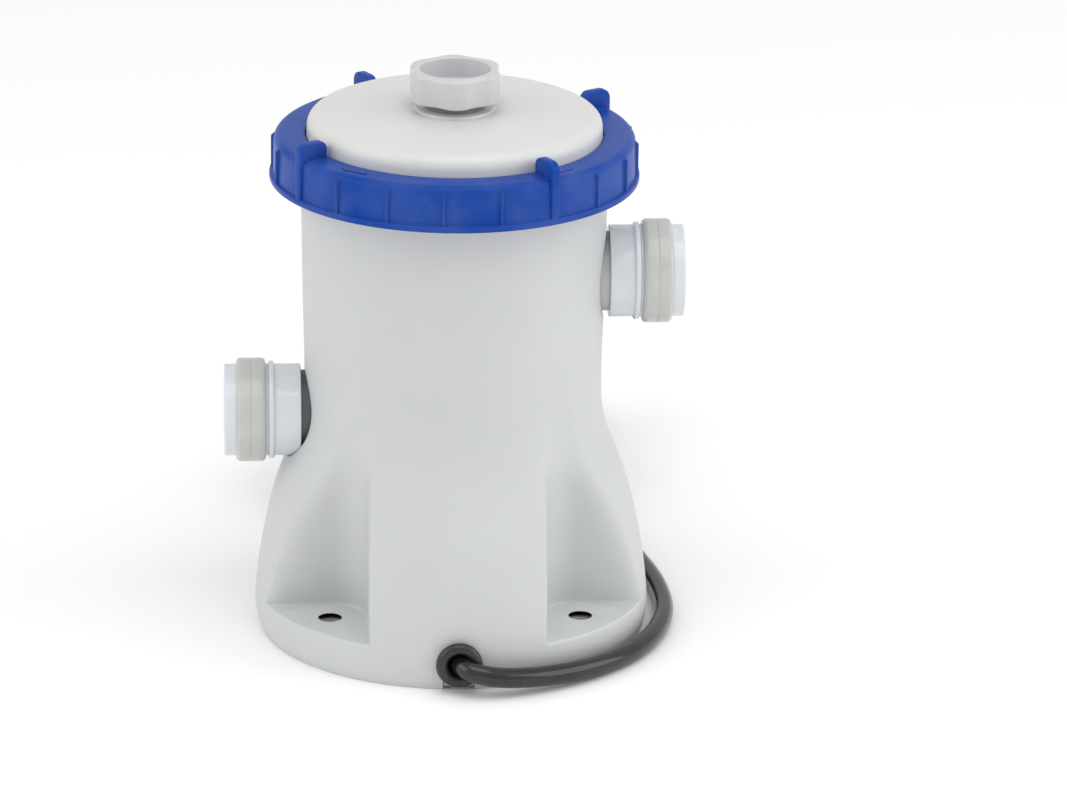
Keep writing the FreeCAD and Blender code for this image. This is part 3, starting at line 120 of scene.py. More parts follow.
class PortSettings(bpy.types.PropertyGroup):
    """Sizes of the two hose ports."""

    upper_z: length("Upper port", 128.7, "Height of the upper port's axis")
    lower_z: length("Lower port", 78.5, "Height of the lower port's axis")
    end: length("Reach", 79.5, "Reach of each spigot from the axis")
    spigot_r: length("Spigot radius", 16.0, "Outside of the spigot")
    bore_r: length("Bore", 13.0, "Bore of the spigot's free end")
    stub_r: length("Stub", 13.82, "Bore over the moulded stub")
    stub_end: length("Stub end", 62.3, "Where the bore narrows")
    bead_r: length("Bead radius", 17.0, "Bead before the sleeve")
    sleeve_r: length("Sleeve radius", 18.05, "Outside of the soft sleeve")
    sleeve_from: length("Sleeve start", 65.0, "Inner end of the soft sleeve")
    sleeve_to: length("Sleeve end", 75.4, "Outer end of the soft sleeve")
    colour: shade("Spigot colour", "#d9dde1", "Bluish white spigot")
    sleeve_colour: shade("Sleeve colour", "#c0c2bd", "Warm grey sleeve")


class RingSettings(bpy.types.PropertyGroup):
    """Sizes of the locking ring."""

    outer_r: length("Radius", 62.3, "Outside of the upright wall")
    wall: length("Wall", 2.4, "Wall thickness")
    opening_r: length("Opening", 51.3, "Opening round the cover")
    bottom_z: length("Bottom", 163.4, "Lower edge")
    top_z: length("Top", 179.3, "Top face")
    plate: length("Plate", 2.6, "Thickness of the top plate")
    lip_r: length("Lip radius", 63.7, "Rolled lower lip")
    lip_h: length("Lip height", 2.2, "Height of the lip")
    proud: length("Rib height", 1.0, "How far a rib stands proud")
    rib_w: length("Rib width", 1.5, "Width of a grip rib")
    ribs: IntProperty(name="Ribs", description="Grip ribs round the ring", default=20)
    ear_every: IntProperty(name="Ear spacing", description="Every so many ribs one carries an ear", default=5)
    ear_w: length("Ear width", 3.1, "Width of an ear")
    ear_h: length("Ear height", 5.9, "How far an ear stands above the top face")
    ear_in: length("Ear inner end", 52.3, "Radius of the ear's inner end")
    ear_turn: FloatProperty(name="First ear", description="Angle from the front towards +X",
                            default=math.radians(30.4), subtype="ANGLE")
    colour: shade("Ring colour", "#0a419b", "Blue ring")


class CoverSettings(bpy.types.PropertyGroup):
    """Sizes of the cover and the air-release knob."""

    radius: length("Radius", 50.9, "Side of the cover")
    wall: length("Wall", 2.6, "Wall thickness")
    flange_r: length("Flange radius", 56.9, "Flange under the locking ring")
    flange_z: length("Flange height", 174.3, "Underside of the flange")
    flange_t: length("Flange", 2.1, "Thickness of the flange")
    rim_z: length("Rim", 181.0, "Where the side rounds over")
    shoulder_r: length("Shoulder radius", 45.5, "Where the top begins")
    shoulder_z: length("Shoulder height", 186.3, "Height of the shoulder")
    crown_z: length("Crown", 188.0, "Height beside the boss")
    boss_r: length("Boss radius", 13.8, "Raised disc under the knob")
    boss_t: length("Boss height", 0.7, "Height of the raised disc")
    plug_r: length("Plug radius", 13.3, "Boss that closes the cartridge")
    plug_z: length("Plug end", 176.0, "Lower end of that boss")
    hole_r: length("Hole", 5.3, "Hole for the knob's stem")
    knob_r: length("Knob radius", 16.6, "Radius over the knob's lobes")
    knob_top: length("Knob top", 202.3, "Top of the knob")
    knob_h: length("Knob height", 10.6, "Height of the lobed part")
    knob_lobes: IntProperty(name="Lobes", description="Lobes round the knob", default=6)
    knob_valley: length("Valley", 1.8, "Depth between two lobes")
    cup_r: length("Cup radius", 12.05, "Cup in the knob's top")
    cup_depth: length("Cup depth", 7.6, "Depth of that cup")
    colour: shade("Cover colour", "#d5d6d3", "Domed cover")
    knob_colour: shade("Knob colour", "#c6c7c9", "Knob")


class CartridgeSettings(bpy.types.PropertyGroup):
    """Sizes of the filter cartridge."""

    bottom_z: length("Bottom", 90.0, "Underside of the cartridge")
    height: length("Height", 90.0, "Height over both caps")
    cap_r: length("Cap radius", 40.0, "Top cap")
    cap_h: length("Cap height", 8.0, "Height of the top cap")
    foot_r: length("Foot radius", 37.25, "Bottom cap")
    foot_h: length("Foot height", 4.0, "Height of the bottom cap")
    hole_r: length("Hole", 13.9, "Hole through both caps")
    pleat_r: length("Pleat radius", 36.4, "Outer tips of the pleats")
    pleat_in: length("Pleat root", 18.2, "Inner tips of the pleats")
    sheet: length("Fleece", 0.7, "Thickness of the fleece")
    pleats: IntProperty(name="Pleats", description="Number of folds", default=47)
    colour: shade("Cap colour", "#1a55b2", "Blue end caps")
    fleece: shade("Fleece colour", "#eef3f7", "Pleated fleece")


class CordSettings(bpy.types.PropertyGroup):
    """Sizes of the mains cord, its grommet, coil and plug."""

    diameter: length("Diameter", 7.0, "Mains cord")
    grommet_ring: length("Grommet ring", 5.95, "Middle radius of the grommet's bead")
    grommet_bead: length("Grommet bead", 2.1, "Radius of the bead")
    coil_x: length("Coil X", 2.0, "Middle of the put-away coil")
    coil_y: length("Coil Y", 130.0, "Middle of the put-away coil")
    coil_r: length("Coil radius", 40.0, "Radius of the middle turns")
    coil_z: length("Coil height", 1.0, "The tie passes under the coil")
    plug_w: length("Plug width", 35.3, "Across the pins")
    plug_t: length("Plug thickness", 13.7, "Flat plug")
    plug_l: length("Plug length", 36.0, "Body without pins")
    colour: shade("Cord colour", "#1f1b1b", "Black-brown rubber")


class StageSettings(bpy.types.PropertyGroup):
    """Where the camera stands and how bright the studio is."""

    azimuth: FloatProperty(name="Azimuth", description="Camera turned round the object", default=math.radians(-3.171),
                           subtype="ANGLE")
    elevation: FloatProperty(name="Elevation", description="Camera above the horizon", default=math.radians(19.697),
                             subtype="ANGLE")
    roll: FloatProperty(name="Roll", description="Camera turned about its own axis", default=math.radians(0.686),
                        subtype="ANGLE")
    distance: length("Distance", 2430.6, "Camera to the middle of the body")
    aim_right: length("Aim right", 27.95, "Aim to the right of the body's middle")
    aim_down: length("Aim down", 17.46, "Aim below the body's middle")
    focal: FloatProperty(name="Focal length", description="In millimetres on a 36 mm sensor", default=236.18)
    floor: shade("Floor colour", "#ffffff", "Pale floor")


GROUPS = {
    "pump_shell": ShellSettings, "pump_ports": PortSettings, "pump_ring": RingSettings, "pump_cover": CoverSettings,
    "pump_cartridge": CartridgeSettings, "pump_cord": CordSettings, "pump_stage": StageSettings,
}


# ---- nodes and colours ---------------------------------------------------------------------------
def linear(hex_value):
    """sRGB hex to linear RGBA."""
    parts = [int(hex_value[i:i + 2], 16) / 255 for i in (1, 3, 5)]
    return tuple(c / 12.92 if c <= 0.04045 else ((c + 0.055) / 1.055) ** 2.4 for c in parts) + (1.0,)


def mixed(hex_value, other, share):
    """Linear colour part of the way from one hex value to another."""
    return tuple(a + share * (b - a) for a, b in zip(linear(hex_value), linear(other)))


def put(tree, kind, inputs=None, **settings):
    """Add a node with its settings; an input is a value or another node's output."""
    made = tree.nodes.new(kind)
    for key, value in settings.items():
        setattr(made, key, value)
    for key, value in (inputs or {}).items():
        if isinstance(value, bpy.types.NodeSocket):
            tree.links.new(value, made.inputs[key])
        else:
            made.inputs[key].default_value = value
    return made


def blank(name):
    """New material with only an output and a Principled shader."""
    material = bpy.data.materials.new(name)
    material.use_nodes = True
    tree = material.node_tree
    tree.nodes.clear()
    shader = tree.nodes.new("ShaderNodeBsdfPrincipled")
    end = tree.nodes.new("ShaderNodeOutputMaterial")
    tree.links.new(shader.outputs["BSDF"], end.inputs["Surface"])
    return material, tree, shader


def ramp(tree, factor, low, high, start=0.0, stop=1.0):
    """Colour ramp between two linear colours."""
    made = put(tree, "ShaderNodeValToRGB", {"Fac": factor})
    made.color_ramp.elements[0].position = start
    made.color_ramp.elements[0].color = low
    made.color_ramp.elements[1].position = stop
    made.color_ramp.elements[1].color = high
    return made.outputs["Color"]


def moulded(name, colour, rough, grain_mm, depth_mm, clouds_mm=28.0, drift=0.035, ior=1.49, gleam=0.5):
    """Injection-moulded plastic: a fine even grain, faint clouding from the melt, and satin patches.

    grain_mm is the size of the mould's texture and clouds_mm that of the slow changes in colour.
    """
    material, tree, shader = blank(name)
    where = put(tree, "ShaderNodeTexCoord").outputs["Object"]
    clouds = put(tree, "ShaderNodeTexNoise", {"Vector": where, "Scale": 1 / (clouds_mm * MM), "Detail": 3.0})
    fine = put(tree, "ShaderNodeTexNoise", {"Vector": where, "Scale": 1 / (grain_mm * MM), "Detail": 2.0})
    tint = ramp(tree, clouds.outputs["Fac"], mixed(colour, "#000000", drift), mixed(colour, "#ffffff", drift), 0.3, 0.7)
    tree.links.new(tint, shader.inputs["Base Color"])
    patches = put(tree, "ShaderNodeMapRange", {"Value": clouds.outputs["Fac"], "From Min": 0.3, "From Max": 0.7,
                                               "To Min": rough - 0.03, "To Max": rough + 0.04})
    tree.links.new(patches.outputs["Result"], shader.inputs["Roughness"])
    bump = put(tree, "ShaderNodeBump", {"Height": fine.outputs["Fac"], "Distance": depth_mm * MM, "Strength": 1.0})
    tree.links.new(bump.outputs["Normal"], shader.inputs["Normal"])
    shader.inputs["IOR"].default_value = ior
    shader.inputs["Specular IOR Level"].default_value = gleam
    return material


def pp_shell(colour):
    """Polypropylene, moulded in a spark-eroded tool: satin, slightly soft highlights."""
    return moulded("moulded_polypropylene_shell", colour, 0.46, 0.55, 0.012, 34.0, 0.02)


def abs_gloss(name, colour):
    """ABS from a polished tool: glossy, with only a trace of orange peel."""
    return moulded(name, colour, 0.16, 2.2, 0.004, 18.0, 0.015, 1.53)


def pp_blue(name, colour, rough):
    """Blue polypropylene: deep even colour, semi-gloss, faint flow marks."""
    return moulded(name, colour, rough, 0.9, 0.008, 14.0, 0.03, 1.49, 0.12)


def soft_pvc(colour):
    """Soft PVC sleeve: slightly translucent look, wet-looking highlights."""
    return moulded("soft_pvc_sleeve", colour, 0.24, 1.6, 0.01, 9.0, 0.04, 1.52)


def glossy_rubber(name, colour, rough=0.22):
    """Extruded chloroprene rubber: near black, oily sheen, tiny pits."""
    material, tree, shader = blank(name)
    where = put(tree, "ShaderNodeTexCoord").outputs["Object"]
    smear = put(tree, "ShaderNodeTexNoise", {"Vector": where, "Scale": 1 / (6 * MM), "Detail": 4.0})
    pits = put(tree, "ShaderNodeTexNoise", {"Vector": where, "Scale": 1 / (0.4 * MM), "Detail": 2.0})
    tint = ramp(tree, smear.outputs["Fac"], mixed(colour, "#000000", 0.25), mixed(colour, "#8a7a70", 0.04), 0.35, 0.7)
    tree.links.new(tint, shader.inputs["Base Color"])
    gloss = put(tree, "ShaderNodeMapRange", {"Value": smear.outputs["Fac"], "From Min": 0.35, "From Max": 0.65,
                                             "To Min": rough - 0.04, "To Max": rough + 0.07})
    tree.links.new(gloss.outputs["Result"], shader.inputs["Roughness"])
    bump = put(tree, "ShaderNodeBump", {"Height": pits.outputs["Fac"], "Distance": 0.006 * MM, "Strength": 1.0})
    tree.links.new(bump.outputs["Normal"], shader.inputs["Normal"])
    shader.inputs["IOR"].default_value = 1.55
    return material


def spun_fleece(colour):
    """Spun-bond polyester fleece: matte white with fine crossing fibres and a bluish cast in the folds."""
    material, tree, shader = blank("spunbond_polyester_fleece")
    where = put(tree, "ShaderNodeTexCoord").outputs["Object"]
    stretched = put(tree, "ShaderNodeMapping", {"Vector": where, "Scale": (1.0, 1.0, 0.22)})
    fibre = put(tree, "ShaderNodeTexNoise", {"Vector": stretched.outputs["Vector"], "Scale": 1 / (0.5 * MM),
                                             "Detail": 6.0, "Roughness": 0.75})
    felt = put(tree, "ShaderNodeTexNoise", {"Vector": where, "Scale": 1 / (2.4 * MM), "Detail": 4.0})
    both = put(tree, "ShaderNodeMath", {0: fibre.outputs["Fac"], 1: felt.outputs["Fac"]}, operation="MULTIPLY")
    tint = ramp(tree, both.outputs["Value"], mixed(colour, "#aebfce", 0.5), linear(colour), 0.12, 0.36)
    tree.links.new(tint, shader.inputs["Base Color"])
    bump = put(tree, "ShaderNodeBump", {"Height": both.outputs["Value"], "Distance": 0.12 * MM, "Strength": 0.8})
    tree.links.new(bump.outputs["Normal"], shader.inputs["Normal"])
    shader.inputs["Roughness"].default_value = 0.9
    shader.inputs["Sheen Weight"].default_value = 0.25
    shader.inputs["Subsurface Weight"].default_value = 0.15
    shader.inputs["Subsurface Radius"].default_value = (0.6 * MM, 0.6 * MM, 0.6 * MM)
    return material


def turned_metal(name, colour, rough, groove_mm=0.25):
    """Drawn or turned metal: fine lines and small changes in gloss."""
    material, tree, shader = blank(name)
    where = put(tree, "ShaderNodeTexCoord").outputs["Object"]
    lines = put(tree, "ShaderNodeTexNoise", {"Vector": where, "Scale": 1 / (groove_mm * MM), "Detail": 3.0})
    spread = put(tree, "ShaderNodeMapRange", {"Value": lines.outputs["Fac"], "To Min": rough - 0.06, "To Max": rough + 0.12})
    tree.links.new(spread.outputs["Result"], shader.inputs["Roughness"])
    tint = ramp(tree, lines.outputs["Fac"], mixed(colour, "#000000", 0.12), linear(colour), 0.3, 0.6)
    tree.links.new(tint, shader.inputs["Base Color"])
    shader.inputs["Metallic"].default_value = 1.0
    return material


def wound_copper():
    """Enamelled copper wire in close layers: round turns along the coil."""
    material, tree, shader = blank("enamelled_copper_wire")
    where = put(tree, "ShaderNodeTexCoord").outputs["Object"]
    turns = put(tree, "ShaderNodeTexWave", {"Vector": where, "Scale": 1 / (0.9 * MM) / 3.14, "Distortion": 0.4},
                bands_direction="Y")
    tint = ramp(tree, turns.outputs["Fac"], linear("#5e2a12"), linear("#c8763c"))
    tree.links.new(tint, shader.inputs["Base Color"])
    bump = put(tree, "ShaderNodeBump", {"Height": turns.outputs["Fac"], "Distance": 0.2 * MM, "Strength": 0.8})
    tree.links.new(bump.outputs["Normal"], shader.inputs["Normal"])
    shader.inputs["Metallic"].default_value = 0.8
    shader.inputs["Roughness"].default_value = 0.3
    return material


def stacked_steel():
    """Varnished motor laminations: thin sheets seen on edge."""
    material, tree, shader = blank("varnished_laminations")
    where = put(tree, "ShaderNodeTexCoord").outputs["Object"]
    sheets = put(tree, "ShaderNodeTexWave", {"Vector": where, "Scale": 1 / (0.9 * MM) / 3.14, "Distortion": 0.2},
                 bands_direction="Z")
    tint = ramp(tree, sheets.outputs["Fac"], linear("#2a2c30"), linear("#63676d"))
    tree.links.new(tint, shader.inputs["Base Color"])
    bump = put(tree, "ShaderNodeBump", {"Height": sheets.outputs["Fac"], "Distance": 0.1 * MM, "Strength": 0.6})
    tree.links.new(bump.outputs["Normal"], shader.inputs["Normal"])
    shader.inputs["Metallic"].default_value = 0.7
    shader.inputs["Roughness"].default_value = 0.42
    return material


def pale_floor(colour):
    """Seamless studio floor: matte laminate with the faintest mottling."""
    material, tree, shader = blank("studio_floor_laminate")
    where = put(tree, "ShaderNodeTexCoord").outputs["Object"]
    mottle = put(tree, "ShaderNodeTexNoise", {"Vector": where, "Scale": 1 / (180 * MM), "Detail": 2.0})
    tint = ramp(tree, mottle.outputs["Fac"], mixed(colour, "#000000", 0.004), linear(colour), 0.3, 0.7)
    tree.links.new(tint, shader.inputs["Base Color"])
    shader.inputs["Roughness"].default_value = 0.75
    return material


# ---- mesh helpers --------------------------------------------------------------------------------
def rounded(corners, steps=6):
    """Outline through (radius, height, rounding) corners, each rounded by a tangent arc."""
    points = []
    count = len(corners)
    for i, (r, z, round_by) in enumerate(corners):
        here = Vector((r, z))
        if round_by <= 0:
            points.append(here)
            continue
        before = Vector(corners[(i - 1) % count][:2])
        after = Vector(corners[(i + 1) % count][:2])
        a = (before - here).normalized()
        b = (after - here).normalized()
        half = a.angle(b) / 2
        reach = round_by / math.tan(half)
        centre = here + (a + b).normalized() * (round_by / math.sin(half))
        start = here + a * reach - centre
        sweep = start.angle_signed(here + b * reach - centre)
        for n in range(steps + 1):
            turn = -sweep * n / steps
            points.append(centre + Vector((start.x * math.cos(turn) - start.y * math.sin(turn),
                                           start.x * math.sin(turn) + start.y * math.cos(turn))))
    return points


def spin(outline, steps, closed=True, bm=None):
    """Revolve an outline of (radius, height) about Z."""
    bm = bm or bmesh.new()
    spots = [bm.verts.new((p[0], 0, p[1])) for p in outline]
    pairs = list(zip(spots, spots[1:])) + ([(spots[-1], spots[0])] if closed else [])
    edges = [bm.edges.new(pair) for pair in pairs]
    bmesh.ops.spin(bm, geom=spots + edges, cent=(0, 0, 0), axis=UP, angle=TAU, steps=steps, use_merge=True)
    bmesh.ops.remove_doubles(bm, verts=bm.verts[:], dist=0.002 * MM)
    bmesh.ops.recalc_face_normals(bm, faces=bm.faces[:])
    return bm


def prism(outline, low, high, bm=None):
    """Extrude an outline of (x, y) from one height to another; returns the mesh and its new verts."""
    bm = bm or bmesh.new()
    face = bm.faces.new([bm.verts.new((p[0], p[1], low)) for p in outline])
    grown = bmesh.ops.extrude_face_region(bm, geom=[face])
    top = [g for g in grown["geom"] if isinstance(g, bmesh.types.BMVert)]
    bmesh.ops.translate(bm, verts=top, vec=(0, 0, high - low))
    verts = list(face.verts) + top
    made = [f for f in bm.faces if all(v in set(verts) for v in f.verts)]
    bmesh.ops.recalc_face_normals(bm, faces=made)
    return bm, verts


def soften(bm, edges, width, segments=2):
    """Bevel some edges."""
    bmesh.ops.bevel(bm, geom=list(edges), offset=width, offset_type="OFFSET", segments=segments, profile=0.5,
                    affect="EDGES", clamp_overlap=True, material=-1)


def turn_to_port(bm, side, height):
    """Lay a piece drawn about Z along a hose port."""
    turn = Matrix.Rotation(side * math.pi / 2, 4, "Y")
    bmesh.ops.transform(bm, matrix=Matrix.Translation((0, 0, height)) @ turn, verts=bm.verts[:])


def place(name, bm, material, body, replaces=(), sharp=38.0):
    """Turn a mesh under construction into a finished piece on a body."""
    mesh = bpy.data.meshes.new(name)
    bm.to_mesh(mesh)
    bm.free()
    mesh.shade_smooth()
    mesh.set_sharp_from_angle(angle=math.radians(sharp))
    return finish_piece(name, mesh, material, body, replaces)


def finish_piece(name, data, material, body, replaces=()):
    """Link an object, give it its finish and let it ride on its body."""
    piece = bpy.data.objects.new(name, data)
    bpy.context.scene.collection.objects.link(piece)
    data.materials.clear()
    data.materials.append(material)
    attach(piece, body)
    if replaces:
        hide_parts(*replaces)
    return piece


def applied(piece):
    """Replace a piece's mesh by the result of its modifiers."""
    graph = bpy.context.evaluated_depsgraph_get()
    result = bpy.data.meshes.new_from_object(piece.evaluated_get(graph))
    piece.modifiers.clear()
    old = piece.data
    piece.data = result
    bpy.data.meshes.remove(old)
    return piece


def step_between(low, high, value):
    """Smooth 0 to 1 between two values."""
    share = min(1.0, max(0.0, (value - low) / (high - low)))
    return share * share * (3 - 2 * share)


def along(points, z):
    """Smooth curve through (height, radius) points: a cubic with centred slopes."""
    for i in range(len(points) - 1):
        if z <= points[i + 1][0] or i == len(points) - 2:
            break
    z0, r0 = points[i]
    z1, r1 = points[i + 1]

    def slope(k):
        a = points[max(0, k - 1)]
        b = points[min(len(points) - 1, k + 1)]
        return (b[1] - a[1]) / (b[0] - a[0])

    t = (z - z0) / (z1 - z0)
    span = z1 - z0
    return ((2 * t ** 3 - 3 * t ** 2 + 1) * r0 + (t ** 3 - 2 * t ** 2 + t) * span * slope(i)
            + (3 * t ** 2 - 2 * t ** 3) * r1 + (t ** 3 - t ** 2) * span * slope(i + 1))


# ---- the outer shell -----------------------------------------------------------------------------
FLARE = [(0.25, 0.87), (0.50, 0.635), (0.655, 0.405), (0.83, 0.112)]
EDGE_COLUMNS = [0.0, 0.08, 0.16, 0.24, 0.32, 0.40, 0.48, 0.56, 0.64, 0.71, 0.78, 0.84, 0.89, 0.93, 0.96, 0.98, 0.992]
WALL_COLUMNS = 52


def shell_line(s):
    """(height, radius) points of the shell's outside."""
    rise = s.waist_z - s.base_z
    reach = s.base_r - s.waist_r
    line = [(0.0, s.foot_r), (0.33 * s.base_z, s.foot_r + 0.7 * (s.base_r - s.foot_r)), (s.base_z, s.base_r)]
    line += [(s.base_z + up * rise, s.waist_r + share * reach) for up, share in FLARE]
    return line + [(s.waist_z, s.waist_r), ((s.waist_z + s.top_z) / 2, (s.waist_r + s.neck_r) / 2), (s.top_z, s.neck_r)]


def pocket_reach(s, across, forward, z):
    """Distance from the axis to the pocket along a direction, and 1 on its upright wall or 0 on its leaning one."""
    x0 = s.hole_x - s.pocket_r
    y0 = s.hole_y - s.pocket_r + s.lean * (z - s.ledge_z)
    by_x = x0 / max(across, 1e-6)
    by_y = y0 / max(forward, 1e-6)
    reach = max(by_x, by_y)
    corner = Vector((x0 + s.pocket_r, y0 + s.pocket_r))
    if reach * across < corner.x and reach * forward < corner.y:
        mid = corner.x * across + corner.y * forward
        root = mid * mid - corner.length_squared + s.pocket_r ** 2
        reach = mid - math.sqrt(max(0.0, root))
    return reach, step_between(-0.06, 0.06, by_x - by_y)


def blended_min(a, b, soft):
    """The smaller of two lengths, rounded over where they meet."""
    h = max(soft - abs(a - b), 0.0) / soft
    return min(a, b) - h * h * soft / 4


def edge_angle(s, line, z):
    """Angle from the Y axis at which the pocket's upright wall meets the outside at a height."""
    radius = along(line, min(max(z, s.ledge_z), s.top_z))
    x0 = s.hole_x - s.pocket_r
    meet = math.asin(min(1.0, x0 / radius))
    y0 = s.hole_y + s.lean * (max(z, s.ledge_z) - s.ledge_z)
    return min(meet, math.atan2(x0, y0))


def quarter_angles(edge):
    """Columns of one quarter, from the Y axis to the X axis, gathered at the pocket's upright edge."""
    near = [edge * share for share in EDGE_COLUMNS]
    rest = math.pi / 2 - edge
    tight = [0.0, 0.004, 0.010, 0.018, 0.028, 0.040]
    far = [edge + rest * share for share in tight]
    far += [edge + rest * (0.040 + 0.960 * (n + 1) / WALL_COLUMNS) for n in range(WALL_COLUMNS - 1)]
    return near + far


def shell_rows(s):
    """Heights of the shell's rows, each with how far its ledge has opened: 0 below it, 1 above it."""
    low = s.ledge_z
    rows = [(low * share, 0.0) for share in (0.0, 0.03, 0.08, 0.16, 0.26, 0.38, 0.50, 0.62, 0.74, 0.84, 0.91)]
    rows += [(low - 0.62 * MM, 0.03), (low - 0.30 * MM, 0.12), (low - 0.08 * MM, 0.3), (low, 0.5)]
    rows += [(low + 0.02 * MM, 2.0), (low + 0.20 * MM, 1.45), (low + 0.55 * MM, 1.15), (low + 1.1 * MM, 1.0)]
    bend = [(low + 1.1 * MM + (s.waist_z + 6 * MM - low) * (n + 1) / 64, 1.0) for n in range(64)]
    top = [(bend[-1][0] + (s.top_z - bend[-1][0]) * (n + 1) / 26, 1.0) for n in range(26)]
    return rows + bend + top


def shell_radius(s, line, across, forward, z, opened):
    """Radius of the shell's outside in a direction at a height."""
    full = along(line, z)
    if z < s.ledge_z - 2 * MM:
        return full
    reach, upright = pocket_reach(s, across, forward, max(z, s.ledge_z))
    depth = full - reach
    soft = s.crisp + (s.soft - s.crisp) * (1 - upright)
    cut = blended_min(full, reach, soft)
    inside = step_between(-0.5 * MM, 2.5 * MM, depth)
    if opened < 1.0:
        return full - inside * opened * 1.3 * MM
    foot = (opened - 1.0) * 1.2 * MM * inside
    return min(full, cut + foot)


def shell_skin(s):
    """Outside of the shell as rows of points swept round, warped so that columns follow the pocket's edges."""
    line = shell_line(s)
    rows = shell_rows(s)
    columns = len(quarter_angles(0.5)) * 4
    bm = spin([(s.base_r, z) for z, _ in rows], columns, closed=False)
    quarter = columns // 4
    levels = {}
    for vert in bm.verts:
        levels.setdefault(round(vert.co.z, 7), []).append(vert)
    for z, opened in rows:
        ring = sorted(levels[min(levels, key=lambda k: abs(k - z))], key=lambda v: math.atan2(v.co.y, v.co.x) % TAU)
        angles = quarter_angles(edge_angle(s, line, z))
        for n, vert in enumerate(ring):
            part, step = divmod(n, quarter)
            # quarters run Y to X and back by turns, so that each pocket has the same columns
            flip = part % 2 == 0
            turn = (math.pi / 2 - angles[(quarter - step) % quarter] if step else 0.0) if flip else angles[step]
            angle = part * math.pi / 2 + turn
            across, forward = abs(math.cos(angle)), abs(math.sin(angle))
            radius = shell_radius(s, line, across, forward, z, opened)
            vert.co = Vector((radius * math.cos(angle), radius * math.sin(angle), z))
    return bm


def cutter(name, bm):
    """Hidden helper object for a boolean cut."""
    mesh = bpy.data.meshes.new(name)
    bm.to_mesh(mesh)
    bm.free()
    helper = bpy.data.objects.new(name, mesh)
    bpy.context.scene.collection.objects.link(helper)
    return helper


def rod(radius, low, high, bm=None, steps=72):
    """Closed cylinder about Z."""
    bm = bm or bmesh.new()
    place_at = Matrix.Translation((0, 0, (low + high) / 2))
    bmesh.ops.create_cone(bm, cap_ends=True, segments=steps, radius1=radius, radius2=radius, depth=high - low,
                          matrix=place_at)
    return bm


class PUMP_OT_shell(bpy.types.Operator):
    """Build the outer shell with its pockets, port holes, cord notch and screw bosses."""

    bl_idname = "pump.shell"
    bl_label = "Outer shell"

    def execute(self, context):
        s = context.scene.pump_shell
        bm = shell_skin(s)
        bmesh.ops.solidify(bm, geom=bm.faces[:], thickness=s.wall)
        bmesh.ops.recalc_face_normals(bm, faces=bm.faces[:])
        shell = place("outer_shell_moulding", bm, pp_shell(s.colour), "housing", ["outer_shell"])
        ports = context.scene.pump_ports
        tools = []
        for side, height in ((1, ports.upper_z), (-1, ports.lower_z)):
            tool = rod(s.port_hole_r, s.waist_r - 12 * MM, s.base_r + 10 * MM, steps=128)
            turn_to_port(tool, side, height)
            tools.append(tool)
        for sx in (1, -1):
            for sy in (1, -1):
                tool = rod(s.hole_r, s.ledge_z - 6 * MM, s.ledge_z + 4 * MM, steps=64)
                bmesh.ops.translate(tool, verts=tool.verts[:], vec=(sx * s.hole_x, sy * s.hole_y, 0))
                tools.append(tool)
        arch = [(s.notch_r * math.cos(math.pi * n / 24), s.cord_z + s.notch_r * math.sin(math.pi * n / 24))
                for n in range(25)]
        notch, _ = prism([(s.notch_r, -5 * MM)] + arch + [(-s.notch_r, -5 * MM)], 0, 40 * MM)
        stand = Matrix.Translation((0, -40 * MM, 0)) @ Matrix.Rotation(math.pi / 2, 4, "X")
        bmesh.ops.transform(notch, matrix=stand, verts=notch.verts[:])
        tools.append(notch)
        for n, tool in enumerate(tools):
            helper = cutter("shell_cutter_%d" % n, tool)
            cut = shell.modifiers.new("cut", "BOOLEAN")
            cut.operation = "DIFFERENCE"
            cut.solver = "EXACT"
            cut.object = helper
        applied(shell)
        for n in range(len(tools)):
            bpy.data.objects.remove(bpy.data.objects["shell_cutter_%d" % n])
        bm = bmesh.new()
        bm.from_mesh(shell.data)
        for sx in (1, -1):
            for sy in (1, -1):
                tube = spin([(s.hole_r, 0), (s.hole_r + s.boss_wall, 0), (s.hole_r + s.boss_wall, s.ledge_z - s.wall),
                             (s.hole_r, s.ledge_z - s.wall)], 48)
                bmesh.ops.translate(tube, verts=tube.verts[:], vec=(sx * s.hole_x, sy * s.hole_y, 0))
                spare = bpy.data.meshes.new("boss")
                tube.to_mesh(spare)
                tube.free()
                bm.from_mesh(spare)
                bpy.data.meshes.remove(spare)
        bm.to_mesh(shell.data)
        bm.free()
        shell.data.shade_smooth()
        shell.data.set_sharp_from_angle(angle=math.radians(32))
        return {"FINISHED"}


# ---- hose ports ----------------------------------------------------------------------------------
def spigot_outline(p, start):
    """Outline of a spigot about its own axis: sleeve, bead, seat of the soft sleeve and tip."""
    bead_to = p.sleeve_from - 0.7 * MM
    bead_from = bead_to - 2.4 * MM
    return rounded([
        (p.stub_r, start, 0.25 * MM), (p.spigot_r, start, 0.45 * MM), (p.spigot_r, bead_from, 0.5 * MM),
        (p.bead_r, bead_from + 0.55 * MM, 0.6 * MM), (p.bead_r, bead_to - 0.35 * MM, 0.5 * MM),
        (p.spigot_r, bead_to, 0.2 * MM), (p.spigot_r, p.end, 0.6 * MM), (p.bore_r, p.end, 0.5 * MM),
        (p.bore_r, p.stub_end, 0.2 * MM), (p.stub_r, p.stub_end, 0.2 * MM)], 5)


